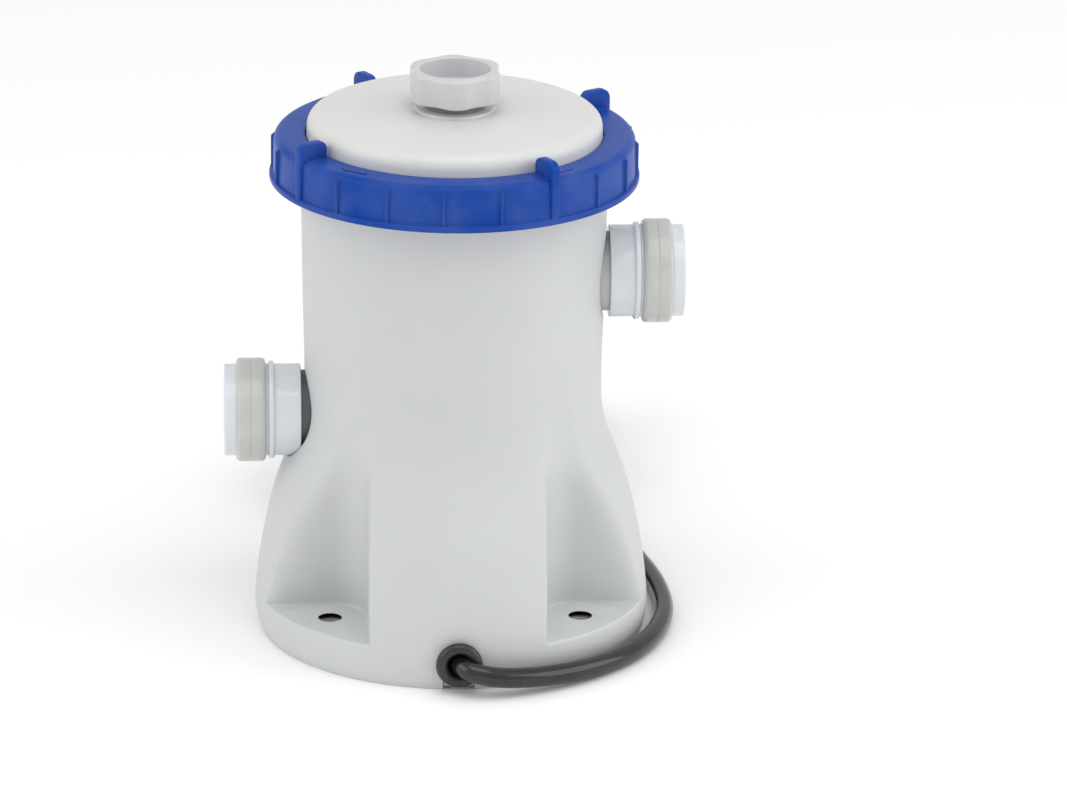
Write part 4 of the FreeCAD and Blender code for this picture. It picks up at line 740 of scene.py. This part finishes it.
def sleeve_outline(p):
    """Outline of the soft sleeve: bulging faces, rolled edges and a fine parting groove."""
    low, high = p.sleeve_from, p.sleeve_to
    mid = (low + high) / 2
    inner = p.spigot_r + 0.02 * MM
    r = p.sleeve_r
    return rounded([
        (inner, low, 0.4 * MM), (r - 0.05 * MM, low, 1.7 * MM), (r, low + 2.6 * MM, 2.0 * MM),
        (r - 0.02 * MM, mid - 0.22 * MM, 0.1 * MM), (r - 0.22 * MM, mid, 0.08 * MM), (r - 0.02 * MM, mid + 0.22 * MM, 0.1 * MM),
        (r, high - 2.6 * MM, 2.0 * MM), (r - 0.05 * MM, high, 1.7 * MM), (inner, high, 0.4 * MM)], 6)


class PUMP_OT_ports(bpy.types.Operator):
    """Build the two spigots and their soft sleeves."""

    bl_idname = "pump.ports"
    bl_label = "Hose ports"

    def execute(self, context):
        p = context.scene.pump_ports
        white = abs_gloss("polished_abs_spigot", p.colour)
        grey = soft_pvc(p.sleeve_colour)
        for word, side, height in (("upper", 1, p.upper_z), ("lower", -1, p.lower_z)):
            low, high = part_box(word + "_spigot")
            start = min(abs(low.x), abs(high.x))
            bm = spin(spigot_outline(p, start), 160)
            turn_to_port(bm, side, height)
            place(word + "_spigot_moulding", bm, white, "housing", [word + "_spigot"])
            bm = spin(sleeve_outline(p), 160)
            turn_to_port(bm, side, height)
            place(word + "_sleeve_moulding", bm, grey, "housing", [word + "_hose_sleeve"])
        return {"FINISHED"}


# ---- locking ring --------------------------------------------------------------------------------
def rib_outline(r, width, proud, spread):
    """Plan of a rib on the ring's wall, with hollow flares where it grows out of the wall."""
    root = r.outer_r - 0.8 * MM
    tip = r.outer_r + proud
    half = width / 2
    side = [(root, -half - spread), (r.outer_r - 0.25 * MM, -half - spread)]
    for n in range(1, 6):
        turn = math.pi / 2 * n / 6
        side.append((r.outer_r + spread - spread * math.cos(turn) - 0.25 * MM, -half - spread * (1 - math.sin(turn))))
    side += [(tip - 0.35 * MM, -half), (tip - 0.1 * MM, -half + 0.12 * MM), (tip, -half + 0.4 * MM)]
    return side + [(x, -y) for x, y in reversed(side)]


class PUMP_OT_ring(bpy.types.Operator):
    """Build the locking ring with its ribs, ears and inner thread."""

    bl_idname = "pump.ring"
    bl_label = "Locking ring"

    def execute(self, context):
        r = context.scene.pump_ring
        inner = r.outer_r - r.wall
        under = r.top_z - r.plate
        lip_top = r.bottom_z + r.lip_h
        bm = spin(rounded([
            (inner, r.bottom_z, 0.3 * MM), (r.lip_r, r.bottom_z, 0.7 * MM), (r.lip_r, lip_top, 0.6 * MM),
            (r.outer_r + 0.1 * MM, lip_top + 0.25 * MM, 0.3 * MM), (r.outer_r - 0.2 * MM, r.top_z, 2.6 * MM),
            (r.opening_r, r.top_z, 0.7 * MM), (r.opening_r, under, 0.3 * MM), (inner, under, 0.4 * MM)], 7), 320)
        first = -math.pi / 2 + r.ear_turn
        for n in range(r.ribs):
            turn = Matrix.Rotation(first + TAU * n / r.ribs, 4, "Z")
            if n % r.ear_every:
                _, verts = prism(rib_outline(r, r.rib_w - 0.3 * MM, r.proud, 0.7 * MM), lip_top - 0.4 * MM, r.top_z - 1.9 * MM, bm)
                crown = [v for v in verts if v.co.z > r.top_z - 3 * MM and v.co.x > r.outer_r - 0.1 * MM]
                for v in crown:
                    v.co.z -= 0.9 * (v.co.x - r.outer_r)
            else:
                verts = self.ear(bm, r, lip_top)
            bmesh.ops.transform(bm, matrix=turn, verts=verts)
        self.thread(bm, r, inner)
        self.arrows(bm, r)
        place("locking_ring_moulding", bm, pp_blue("moulded_blue_polypropylene", r.colour, 0.33), "ring",
              ["locking_ring"], sharp=40)
        return {"FINISHED"}

    def ear(self, bm, r, lip_top):
        """Wide rib with a standing head; drawn in the XZ plane and bevelled."""
        reach = r.outer_r + r.proud + 0.1 * MM
        crown = r.top_z + r.ear_h
        profile = rounded([
            (r.outer_r - 1 * MM, r.bottom_z + 0.8 * MM, 0), (reach, r.bottom_z + 0.8 * MM, 0.5 * MM),
            (reach, crown, 3.4 * MM), (r.ear_in, crown, 3.0 * MM), (r.ear_in, r.top_z - 0.6 * MM, 0),
            (r.outer_r - 1 * MM, r.top_z - 0.6 * MM, 0)], 7)
        start = len(bm.verts)
        _, verts = prism([(p[0], p[1]) for p in profile], -r.ear_w / 2, r.ear_w / 2, bm)
        bm.verts.ensure_lookup_table()
        stand = Matrix.Rotation(math.pi / 2, 4, "X")
        bmesh.ops.transform(bm, matrix=stand, verts=verts)
        own = set(verts)
        rims = [e for e in bm.edges if e.verts[0] in own and e.verts[1] in own
                and abs(e.verts[0].co.y - e.verts[1].co.y) < 1e-6]
        soften(bm, rims, 0.55 * MM, 3)
        return [v for v in bm.verts[start:]]

    def thread(self, bm, r, inner):
        """Teeth inside the ring, clear of the neck's."""
        z = r.bottom_z + 8.0 * MM
        while z < r.top_z - r.plate - 1.6 * MM:
            tooth = [(inner + 0.3 * MM, z), (inner - 0.1 * MM, z), (inner - 0.95 * MM, z + 0.5 * MM),
                     (inner - 0.95 * MM, z + 0.9 * MM), (inner - 0.1 * MM, z + 1.4 * MM), (inner + 0.3 * MM, z + 1.4 * MM)]
            spin(tooth, 160, bm=bm)
            z += 3.0 * MM

    def arrows(self, bm, r):
        """Two pairs of plain curved arrows on the top face."""
        for middle in (52, 128, 232, 308):
            a = math.radians(middle)
            radius = (r.outer_r + r.opening_r) / 2
            bar = [(radius + w, a + t) for t in [0.02 * k - 0.07 for k in range(8)] for w in (-0.5 * MM,)]
            back = [(radius + 0.5 * MM, t) for _, t in reversed(bar)]
            head = [(radius + 1.5 * MM, a - 0.07), (radius, a - 0.115), (radius - 1.5 * MM, a - 0.07)]
            spots = bar + back[:-1] + [(radius + 0.5 * MM, a - 0.07)] + head
            flat = [(rad * math.cos(t), rad * math.sin(t)) for rad, t in spots]
            prism(flat, r.top_z - 0.3 * MM, r.top_z + 0.28 * MM, bm)


# ---- cover and air release -----------------------------------------------------------------------
def cover_outline(c):
    """Outline of the cover's wall, outside then inside, down to its flange and centre boss."""
    low = c.flange_z
    top = c.flange_z + c.flange_t
    w = c.wall
    dome = [(c.boss_r + (c.shoulder_r - c.boss_r) * t, c.crown_z - (c.crown_z - c.shoulder_z) * t ** 1.8)
            for t in [n / 14 for n in range(15)]]
    bend = []
    for n in range(1, 12):
        t = math.pi / 2 * n / 12
        bend.append((c.shoulder_r + (c.radius - c.shoulder_r) * math.sin(t) ** 0.85,
                     c.rim_z + (c.shoulder_z - c.rim_z) * math.cos(t) ** 0.85))
    boss_top = c.crown_z + c.boss_t
    outside = [(c.hole_r, boss_top), (c.boss_r - 0.6 * MM, boss_top), (c.boss_r - 0.2 * MM, boss_top - 0.15 * MM),
               (c.boss_r, boss_top - 0.45 * MM)]
    outside += dome + bend + [(c.radius, c.rim_z), (c.radius, top + 0.3 * MM), (c.radius + 0.3 * MM, top)]
    flange = [(c.flange_r - 0.4 * MM, top), (c.flange_r, top - 0.4 * MM), (c.flange_r, low + 0.3 * MM),
              (c.flange_r - 0.3 * MM, low), (c.radius - w, low)]
    inside = [(c.radius - w, c.rim_z - 0.5 * w), (c.shoulder_r - 1.2 * MM, c.shoulder_z - w), (c.plug_r, c.crown_z - w)]
    plug = [(c.plug_r, c.plug_z + 0.4 * MM), (c.plug_r - 0.4 * MM, c.plug_z), (c.hole_r, c.plug_z)]
    return outside + flange + inside + plug


class PUMP_OT_cover(bpy.types.Operator):
    """Build the domed cover with its ribs and raised arrow."""

    bl_idname = "pump.cover"
    bl_label = "Cover"

    def execute(self, context):
        c = context.scene.pump_cover
        bm = spin(cover_outline(c), 256)
        for n in range(8):
            rib, verts = prism([(c.plug_r - 1 * MM, -0.8 * MM), (c.radius - c.wall + 0.5 * MM, -0.8 * MM),
                                (c.radius - c.wall + 0.5 * MM, 0.8 * MM), (c.plug_r - 1 * MM, 0.8 * MM)],
                               181.7 * MM, 185.2 * MM, bm)
            for v in verts:
                if v.co.z > 184 * MM and v.co.x > 40 * MM:
                    v.co.z -= 2.2 * MM
            bmesh.ops.transform(bm, matrix=Matrix.Rotation(math.radians(45 * n + 22.5), 4, "Z"), verts=verts)
        arrow, _ = prism([(-3.4 * MM, -27.5 * MM), (3.4 * MM, -27.5 * MM), (0, -21.8 * MM)], 186.6 * MM, 188.12 * MM)
        soften(arrow, [e for e in arrow.edges if min(v.co.z for v in e.verts) > 188 * MM], 0.25 * MM, 2)
        inner, _ = prism([(-1.6 * MM, -26.4 * MM), (1.6 * MM, -26.4 * MM), (0, -23.7 * MM)], 188.0 * MM, 188.35 * MM)
        for extra in (arrow, inner):
            spare = bpy.data.meshes.new("arrow")
            extra.to_mesh(spare)
            extra.free()
            bm.from_mesh(spare)
            bpy.data.meshes.remove(spare)
        satin = moulded("moulded_abs_cover", c.colour, 0.36, 0.7, 0.006, 26.0, 0.015, 1.5)
        place("filter_cover_moulding", bm, satin, "cover", ["filter_cover"], sharp=35)
        return {"FINISHED"}


class PUMP_OT_knob(bpy.types.Operator):
    """Build the lobed air-release knob with its cup, neck and stem."""

    bl_idname = "pump.knob"
    bl_label = "Air-release knob"

    def execute(self, context):
        c = context.scene.pump_cover
        low = c.knob_top - c.knob_h
        neck_r = 8.6 * MM
        neck_z = c.crown_z + c.boss_t + 1.32 * MM
        stem_r = 4.9 * MM
        stem_end = 168.5 * MM
        cup_z = c.knob_top - c.cup_depth
        edge = rounded([
            (0, stem_end, 0), (stem_r, stem_end, 0.6 * MM), (stem_r, neck_z, 0), (neck_r, neck_z, 0.3 * MM),
            (neck_r, low, 0.5 * MM), (c.knob_r, low, 0.9 * MM), (c.knob_r, c.knob_top, 1.5 * MM),
            (c.cup_r + 0.1 * MM, c.knob_top, 0.7 * MM), (c.cup_r - 0.4 * MM, cup_z, 1.3 * MM), (0, cup_z, 0)], 7)
        bm = spin(edge, 216, closed=False)
        mean = c.knob_r - c.knob_valley / 2
        for v in bm.verts:
            r = math.hypot(v.co.x, v.co.y)
            share = step_between(c.cup_r + 0.9 * MM, c.knob_r - 0.2 * MM, r) if v.co.z > low - 0.01 * MM else 0.0
            if share <= 0 or r < 1e-6:
                continue
            angle = math.atan2(v.co.y, v.co.x) + math.pi / 2
            wave = math.cos(c.knob_lobes * angle)
            lobe = math.copysign(abs(wave) ** 0.8, wave)
            shift = (mean - c.knob_r + c.knob_valley / 2 * lobe) * share
            v.co.x *= (r + shift) / r
            v.co.y *= (r + shift) / r
        gloss = abs_gloss("polished_abs_knob", c.knob_colour)
        place("air_release_knob_moulding", bm, gloss, "release_knob", ["air_release_knob"], sharp=42)
        return {"FINISHED"}


# ---- filter cartridge ----------------------------------------------------------------------------
def pleat_line(k, rng):
    """Middle line of the folded sheet: (radius, angle) round the cartridge, each fold a little different."""
    half = math.pi / k.pleats
    line = []
    for n in range(k.pleats):
        wander = rng.uniform(-0.22, 0.22) * half
        out = k.pleat_r - rng.uniform(0.0, 0.9) * MM
        root = k.pleat_in + rng.uniform(-0.3, 0.3) * MM
        base = 2 * n * half
        tip = base + half + wander
        if n == k.pleats - 1:
            out -= 2.2 * MM
        line.append((root, base - 0.10 * half))
        line.append((root, base + 0.10 * half))
        for share in (0.35, 0.7, 0.93):
            line.append((root + (out - root) * share, base + (tip - base) * (0.12 + 0.76 * share) - 0.05 * half))
        bulge = 0.45 * MM / out
        line.append((out - 0.12 * MM, tip - bulge))
        line.append((out, tip))
        line.append((out - 0.12 * MM, tip + bulge))
        follow = base + 2 * half
        for share in (0.93, 0.7, 0.35):
            line.append((root + (out - root) * share, follow - (follow - tip) * (0.12 + 0.76 * share) + 0.05 * half))
    return line


class PUMP_OT_cartridge(bpy.types.Operator):
    """Build the cartridge's two end caps and its pleated fleece."""

    bl_idname = "pump.cartridge"
    bl_label = "Filter cartridge"

    def execute(self, context):
        k = context.scene.pump_cartridge
        blue = pp_blue("moulded_blue_end_cap", k.colour, 0.3)
        top = k.bottom_z + k.height
        cap_z = top - k.cap_h
        bm = spin(rounded([
            (k.hole_r, cap_z, 0.3 * MM), (k.cap_r, cap_z, 0.8 * MM), (k.cap_r, top, 1.9 * MM),
            (28.2 * MM, top, 0.3 * MM), (28.0 * MM, top - 0.6 * MM, 0.2 * MM), (25.8 * MM, top - 0.6 * MM, 0.2 * MM),
            (25.6 * MM, top, 0.3 * MM), (k.hole_r, top, 0.8 * MM)], 5), 256)
        for n in range(4):
            disc = rod(1.0, 0, 1, steps=40)
            spot = Matrix.Rotation(math.radians(90 * n + 45), 4, "Z") @ Matrix.Translation((34 * MM, 0, top - 0.2 * MM))
            size = Matrix.Diagonal((2.2 * MM, 3.0 * MM, 0.42 * MM, 1))
            bmesh.ops.transform(disc, matrix=spot @ size, verts=disc.verts[:])
            spare = bpy.data.meshes.new("mark")
            disc.to_mesh(spare)
            disc.free()
            bm.from_mesh(spare)
            bpy.data.meshes.remove(spare)
        place("cartridge_top_cap_moulding", bm, blue, "cartridge", ["cartridge_top_cap"])
        foot_top = k.bottom_z + k.foot_h
        bm = spin(rounded([
            (k.hole_r, k.bottom_z, 0.4 * MM), (k.foot_r, k.bottom_z, 0.9 * MM), (k.foot_r, foot_top, 0.35 * MM),
            (k.foot_r - 0.7 * MM, foot_top, 0.3 * MM), (k.foot_r - 0.9 * MM, foot_top - 1.0 * MM, 0.2 * MM),
            (k.hole_r, foot_top - 1.0 * MM, 0.2 * MM)], 5), 224)
        place("cartridge_bottom_cap_moulding", bm, blue, "cartridge", ["cartridge_bottom_cap"])
        self.fleece(k, foot_top - 0.8 * MM, cap_z)
        return {"FINISHED"}

    def fleece(self, k, low, high):
        """Folded sheet between the caps, with wavering tips."""
        rng = random.Random(7)
        line = pleat_line(k, rng)
        waver = [rng.uniform(-1, 1) for _ in line]
        bm = bmesh.new()
        ring = [bm.verts.new((r * math.cos(a), r * math.sin(a), low)) for r, a in line]
        edges = [bm.edges.new((a, b)) for a, b in zip(ring, ring[1:] + ring[:1])]
        rows = 10
        for row in range(rows):
            grown = bmesh.ops.extrude_edge_only(bm, edges=edges)
            edges = [g for g in grown["geom"] if isinstance(g, bmesh.types.BMEdge)]
            verts = [g for g in grown["geom"] if isinstance(g, bmesh.types.BMVert)]
            bmesh.ops.translate(bm, verts=verts, vec=(0, 0, (high - low) / rows))
        for v in bm.verts:
            r = math.hypot(v.co.x, v.co.y)
            a = math.atan2(v.co.y, v.co.x)
            up = (v.co.z - low) / (high - low)
            edge = step_between(24 * MM, 35 * MM, r) * math.sin(math.pi * up)
            pick = waver[int((a % TAU) / TAU * len(waver)) % len(waver)]
            a += edge * 0.006 * math.sin(9 * a + 5 * up + 2 * pick)
            r += edge * 0.25 * MM * math.sin(23 * a + 4 * up)
            v.co.x = r * math.cos(a)
            v.co.y = r * math.sin(a)
        bmesh.ops.recalc_face_normals(bm, faces=bm.faces[:])
        bmesh.ops.solidify(bm, geom=bm.faces[:], thickness=k.sheet)
        bmesh.ops.recalc_face_normals(bm, faces=bm.faces[:])
        place("pleated_fleece", bm, spun_fleece(k.fleece), "cartridge", ["pleated_media"], sharp=50)


# ---- mains cord ----------------------------------------------------------------------------------
CORD_ROUTE = [
    (0.0, -66.0, 10.4), (0.2, -71.0, 10.3), (4.6, -75.6, 9.2), (14.5, -74.9, 7.0), (29.0, -69.6, 5.4),
    (46.0, -59.0, 4.2), (60.5, -44.0, 3.5), (70.5, -25.0, 3.5), (75.5, -3.0, 3.5), (74.5, 22.0, 3.5),
    (69.0, 48.0, 3.5), (61.3, 76.0, 3.7), (53.8, 102.0, 4.5),
]
TAIL_ROUTE = [
    (-9.3, 99.0, 18.6), (2.2, 95.7, 21.8), (14.2, 96.1, 24.8), (25.5, 100.1, 26.6), (35.1, 107.3, 27.7),
    (42.0, 117.1, 28.4), (45.6, 128.5, 28.8), (45.6, 138.5, 28.85),
]
# radius step and layer of each turn of the coil, from the floor up: across the coil and back
COIL_TURNS = [(1, 0), (0, 0), (-1, 0), (-1, 1), (0, 1), (1, 1), (1, 2), (0, 2), (-1, 2)]
POINTS_PER_TURN = 18


def coil_points(w):
    """Turns of the put-away coil, wound inwards and outwards by turns, as points of the cord's own line."""
    d = w.diameter
    points = []
    last = len(COIL_TURNS) - 1
    for n, (step, layer) in enumerate(COIL_TURNS):
        following = COIL_TURNS[min(n + 1, last)]
        count = POINTS_PER_TURN if n < last else 12
        for k in range(count):
            share = step_between(0.76, 1.0, k / POINTS_PER_TURN)
            radius = w.coil_r + d * (step + share * (following[0] - step))
            height = w.coil_z + d * (0.5 + layer + share * (following[1] - layer))
            angle = TAU * k / POINTS_PER_TURN
            points.append((w.coil_x + radius * math.cos(angle), w.coil_y + radius * math.sin(angle), height))
    return points


class PUMP_OT_cord(bpy.types.Operator):
    """Lay the mains cord from its grommet to the coil and plug."""

    bl_idname = "pump.cord"
    bl_label = "Mains cord"

    def execute(self, context):
        w = context.scene.pump_cord
        rubber = glossy_rubber("extruded_black_rubber_cord", w.colour, 0.14)
        moulded_rubber = glossy_rubber("moulded_black_rubber", w.colour, 0.3)
        route = [Vector(p) * MM for p in CORD_ROUTE] + [Vector(p) for p in coil_points(w)]
        route += [Vector(p) * MM for p in TAIL_ROUTE]
        curve = bpy.data.curves.new("mains_cord", "CURVE")
        curve.dimensions = "3D"
        spline = curve.splines.new("NURBS")
        spline.points.add(len(route) - 1)
        for point, spot in zip(spline.points, route):
            point.co = (*spot, 1.0)
        spline.order_u = 3
        spline.use_endpoint_u = True
        spline.resolution_u = 5
        curve.bevel_depth = w.diameter / 2
        curve.bevel_resolution = 5
        curve.use_fill_caps = True
        cord = finish_piece("mains_cord", curve, rubber, "housing", ["power_cord", "cord_coil", "cord_tail"])
        grommet = self.grommet(context, w, moulded_rubber)
        plug = self.plug(w, moulded_rubber)
        self.measured(cord)
        return {"FINISHED"}

    def measured(self, cord):
        """Length of the cord's own line."""
        line = cord.copy()
        line.data = cord.data.copy()
        line.data.bevel_depth = 0
        mesh = bpy.data.meshes.new_from_object(line)
        spots = [v.co.copy() for v in mesh.vertices]
        bpy.data.meshes.remove(mesh)
        bpy.data.objects.remove(line)
        return sum((b - a).length for a, b in zip(spots, spots[1:]))

    def grommet(self, context, w, rubber):
        """Rounded rubber ring in the shell's notch."""
        s = context.scene.pump_shell
        face = s.base_r
        ring, bead = w.grommet_ring, w.grommet_bead
        bore = w.diameter / 2 + 0.6 * MM
        outline = [(ring + bead * math.cos(a), face + bead + bead * math.sin(a))
                   for a in [math.radians(-60 + 15 * n) for n in range(21)]]
        outline += [(bore, face + 0.6 * MM), (bore, face - 4 * MM), (s.notch_r, face - 4 * MM), (s.notch_r, face + 0.1 * MM)]
        bm = spin(outline, 96)
        turn = Matrix.Translation((0, 0, s.cord_z)) @ Matrix.Rotation(math.pi / 2, 4, "X")
        bmesh.ops.transform(bm, matrix=turn, verts=bm.verts[:])
        return place("grommet_ring", bm, rubber, "housing", ["cord_grommet"], sharp=50)

    def plug(self, w, rubber):
        """Flat two-pin plug body and its ribbed strain relief."""
        low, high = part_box("plug_body")
        x, z = (low.x + high.x) / 2, (low.z + high.z) / 2
        half = w.plug_w / 2
        grip = 0.62 * half
        outline = [(p[0], p[1]) for p in rounded([
            (-grip, 0, 4 * MM), (grip, 0, 4 * MM), (grip + 0.3 * MM, 0.16 * w.plug_l, 3 * MM), (half, 0.62 * w.plug_l, 6 * MM),
            (half, w.plug_l, 1.0 * MM), (-half, w.plug_l, 1.0 * MM), (-half, 0.62 * w.plug_l, 6 * MM),
            (-grip - 0.3 * MM, 0.16 * w.plug_l, 3 * MM)], 6)]
        bm, _ = prism(outline, -w.plug_t / 2, w.plug_t / 2)
        soften(bm, [e for e in bm.edges if abs(e.verts[0].co.z - e.verts[1].co.z) < 1e-6], 1.6 * MM, 4)
        bmesh.ops.translate(bm, verts=bm.verts[:], vec=(x, low.y, z))
        body = place("plug_moulding", bm, rubber, "housing", ["plug_body"], sharp=45)
        low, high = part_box("plug_relief")
        span = high.y - low.y
        outline = [(0, 0), (w.diameter / 2 + 0.5 * MM, 0)]
        for n in range(5):
            at = (4 + 5 * n) * MM
            grow = (high.x - low.x) / 2 - w.diameter / 2 - 0.8 * MM
            outer = w.diameter / 2 + 0.8 * MM + grow * at / span
            outline += [(outer, at), (outer - 1.1 * MM, at + 0.25 * MM), (outer - 1.1 * MM, at + 1.3 * MM),
                        (outer + 0.1 * MM, at + 1.55 * MM)]
        outline += [((high.x - low.x) / 2, span), (0, span)]
        bm = spin(outline, 64, closed=False)
        turn = Matrix.Translation((x, low.y, z)) @ Matrix.Rotation(-math.pi / 2, 4, "X")
        bmesh.ops.transform(bm, matrix=turn, verts=bm.verts[:])
        relief = place("strain_relief", bm, rubber, "housing", ["plug_relief"], sharp=50)
        return [body, relief]


# ---- frame nodes that keep their own shape -------------------------------------------------------
def frame_finishes():
    """Material for each frame node that stays."""
    grey = moulded("moulded_abs_vessel", "#cfd0ce", 0.4, 0.8, 0.008)
    dark = moulded("glass_filled_nylon_pump", "#5d6164", 0.45, 0.5, 0.02)
    black = glossy_rubber("nitrile_seal_rubber", "#1d1c1c", 0.4)
    washer = glossy_rubber("grey_silicone_washer", "#85888a", 0.4)
    steel = turned_metal("zinc_plated_steel", "#a9abab", 0.32)
    knob = abs_gloss("polished_abs_clip", "#dad9de")
    white = moulded("moulded_polypropylene_core", "#e4e6e8", 0.42, 0.7, 0.008)
    return {
        "base_plate": moulded("moulded_polypropylene_base", "#cbccca", 0.5, 0.5, 0.015),
        "filter_vessel": grey, "pump_housing": dark, "terminal_block": dark, "cord_clamp": dark,
        "cover_seal": black, "upper_spigot_seal": black, "lower_spigot_seal": black, "pump_gasket": black,
        "air_release_seal": washer, "shaft_seats": black, "air_release_clip": knob, "cartridge_core": white,
        "impeller": moulded("moulded_acetal_impeller", "#dfded8", 0.38, 0.6, 0.008),
        "rotor_magnet": moulded("sintered_ferrite_magnet", "#26262a", 0.5, 0.35, 0.03),
        "rotor_bushes": moulded("pressed_carbon_bush", "#19191b", 0.42, 0.3, 0.02),
        "rotor_shaft": turned_metal("ground_stainless_shaft", "#c4c6c8", 0.2),
        "pump_housing_screws": steel, "base_screws": steel, "cord_clamp_screws": steel,
        "stator_core": stacked_steel(), "coil_windings": wound_copper(),
        "coil_bobbins": moulded("moulded_nylon_bobbin", "#d8d0b4", 0.45, 0.6, 0.01),
        "lead_wires": moulded("pvc_wire_insulation", "#2a4f8f", 0.35, 1.0, 0.01),
        "cord_inner": glossy_rubber("extruded_black_rubber_inner_cord", "#2e2927", 0.25),
        "coil_tie": moulded("woven_tie_strap", "#1f1f20", 0.6, 0.4, 0.05),
        "plug_pins": turned_metal("nickel_plated_pins", "#c9c5ba", 0.2),
    }


class PUMP_OT_frame_parts(bpy.types.Operator):
    """Give the frame's own nodes their materials and smooth shading."""

    bl_idname = "pump.frame_parts"
    bl_label = "Inner parts"

    def execute(self, context):
        for name, material in frame_finishes().items():
            node = frame["nodes"][name]
            node.data.materials.clear()
            node.data.materials.append(material)
            node.data.shade_smooth()
            weld = node.modifiers.new("weld", "WELD")
            weld.merge_threshold = 0.001 * MM
            split = node.modifiers.new("edges", "EDGE_SPLIT")
            split.split_angle = math.radians(35)
        return {"FINISHED"}


# ---- stage ---------------------------------------------------------------------------------------
def soft_box(name, place_at, aim, size, power, colour="#ffffff"):
    """Square studio light aimed at a point."""
    lamp = bpy.data.lights.new(name, "AREA")
    lamp.shape = "SQUARE"
    lamp.size = size
    lamp.energy = power
    lamp.color = linear(colour)[:3]
    holder = bpy.data.objects.new(name, lamp)
    holder.location = place_at
    holder.rotation_mode = "QUATERNION"
    holder.rotation_quaternion = (Vector(aim) - Vector(place_at)).to_track_quat("-Z", "Y")
    bpy.context.scene.collection.objects.link(holder)


class PUMP_OT_stage(bpy.types.Operator):
    """Set the floor, the soft studio lights and the camera."""

    bl_idname = "pump.stage"
    bl_label = "Studio"

    def execute(self, context):
        g = context.scene.pump_stage
        bm = bmesh.new()
        bmesh.ops.create_grid(bm, x_segments=1, y_segments=1, size=12.0)
        mesh = bpy.data.meshes.new("studio_floor")
        bm.to_mesh(mesh)
        bm.free()
        floor = bpy.data.objects.new("studio_floor", mesh)
        floor.location.z = -0.05 * MM
        mesh.materials.append(pale_floor(g.floor))
        context.scene.collection.objects.link(floor)
        world = bpy.data.worlds.new("white_studio")
        context.scene.world = world
        world.use_nodes = True
        back = world.node_tree.nodes["Background"]
        back.inputs["Color"].default_value = (1.0, 1.0, 1.0, 1.0)
        back.inputs["Strength"].default_value = 0.72
        middle = (0, 0, 0.1)
        soft_box("left_softbox", (-1.6, -0.5, 1.0), middle, 1.4, 8)
        soft_box("right_softbox", (1.6, -0.4, 0.9), middle, 1.4, 10)
        soft_box("top_softbox", (0.1, -0.6, 1.9), middle, 1.4, 9)
        self.camera(context, g)
        context.scene.view_settings.view_transform = "Standard"
        return {"FINISHED"}

    def camera(self, context, g):
        """Long lens from just left of the front, above the horizon."""
        a, e = g.azimuth, g.elevation
        back = Vector((math.sin(a) * math.cos(e), -math.cos(a) * math.cos(e), math.sin(e)))
        right = Vector((math.cos(a), math.sin(a), 0))
        up = back.cross(right)
        turn = Matrix.Rotation(g.roll, 3, back)
        right, up = turn @ right, turn @ up
        lens = bpy.data.cameras.new("camera")
        lens.sensor_width = 36
        lens.lens = g.focal
        lens.clip_start, lens.clip_end = 0.1, 60
        holder = bpy.data.objects.new("camera", lens)
        holder.rotation_mode = "QUATERNION"
        holder.rotation_quaternion = Matrix((right, up, back)).transposed().to_quaternion()
        holder.location = Vector((0, 0, 0.1)) + right * g.aim_right - up * g.aim_down + back * g.distance
        context.scene.collection.objects.link(holder)
        context.scene.camera = holder


OPERATORS = (PUMP_OT_stage, PUMP_OT_cord, PUMP_OT_shell, PUMP_OT_ports, PUMP_OT_ring, PUMP_OT_cover, PUMP_OT_knob,
             PUMP_OT_cartridge, PUMP_OT_frame_parts)


class PUMP_PT_panel(bpy.types.Panel):
    """Sidebar list of the pump's pieces."""

    bl_idname = "PUMP_PT_panel"
    bl_label = "Filter pump"
    bl_space_type = "VIEW_3D"
    bl_region_type = "UI"
    bl_category = "Filter Pump"

    def draw(self, context):
        for operator in OPERATORS:
            self.layout.operator(operator.bl_idname)
        for name, group in GROUPS.items():
            box = self.layout.box()
            box.label(text=group.__doc__)
            for key in group.__annotations__:
                box.prop(getattr(context.scene, name), key)


def register():
    """Register the settings, operators and panel."""
    for name, group in GROUPS.items():
        bpy.utils.register_class(group)
        setattr(bpy.types.Scene, name, PointerProperty(type=group))
    for made in (*OPERATORS, PUMP_PT_panel):
        bpy.utils.register_class(made)


def unregister():
    """Remove everything that register added."""
    for made in (PUMP_PT_panel, *reversed(OPERATORS)):
        bpy.utils.unregister_class(made)
    for name, group in reversed(GROUPS.items()):
        delattr(bpy.types.Scene, name)
        bpy.utils.unregister_class(group)


def main():
    """Build every piece."""
    register()
    for operator in OPERATORS:
        group, name = operator.bl_idname.split(".")
        getattr(getattr(bpy.ops, group), name)()


if __name__ == "__main__":
    main()
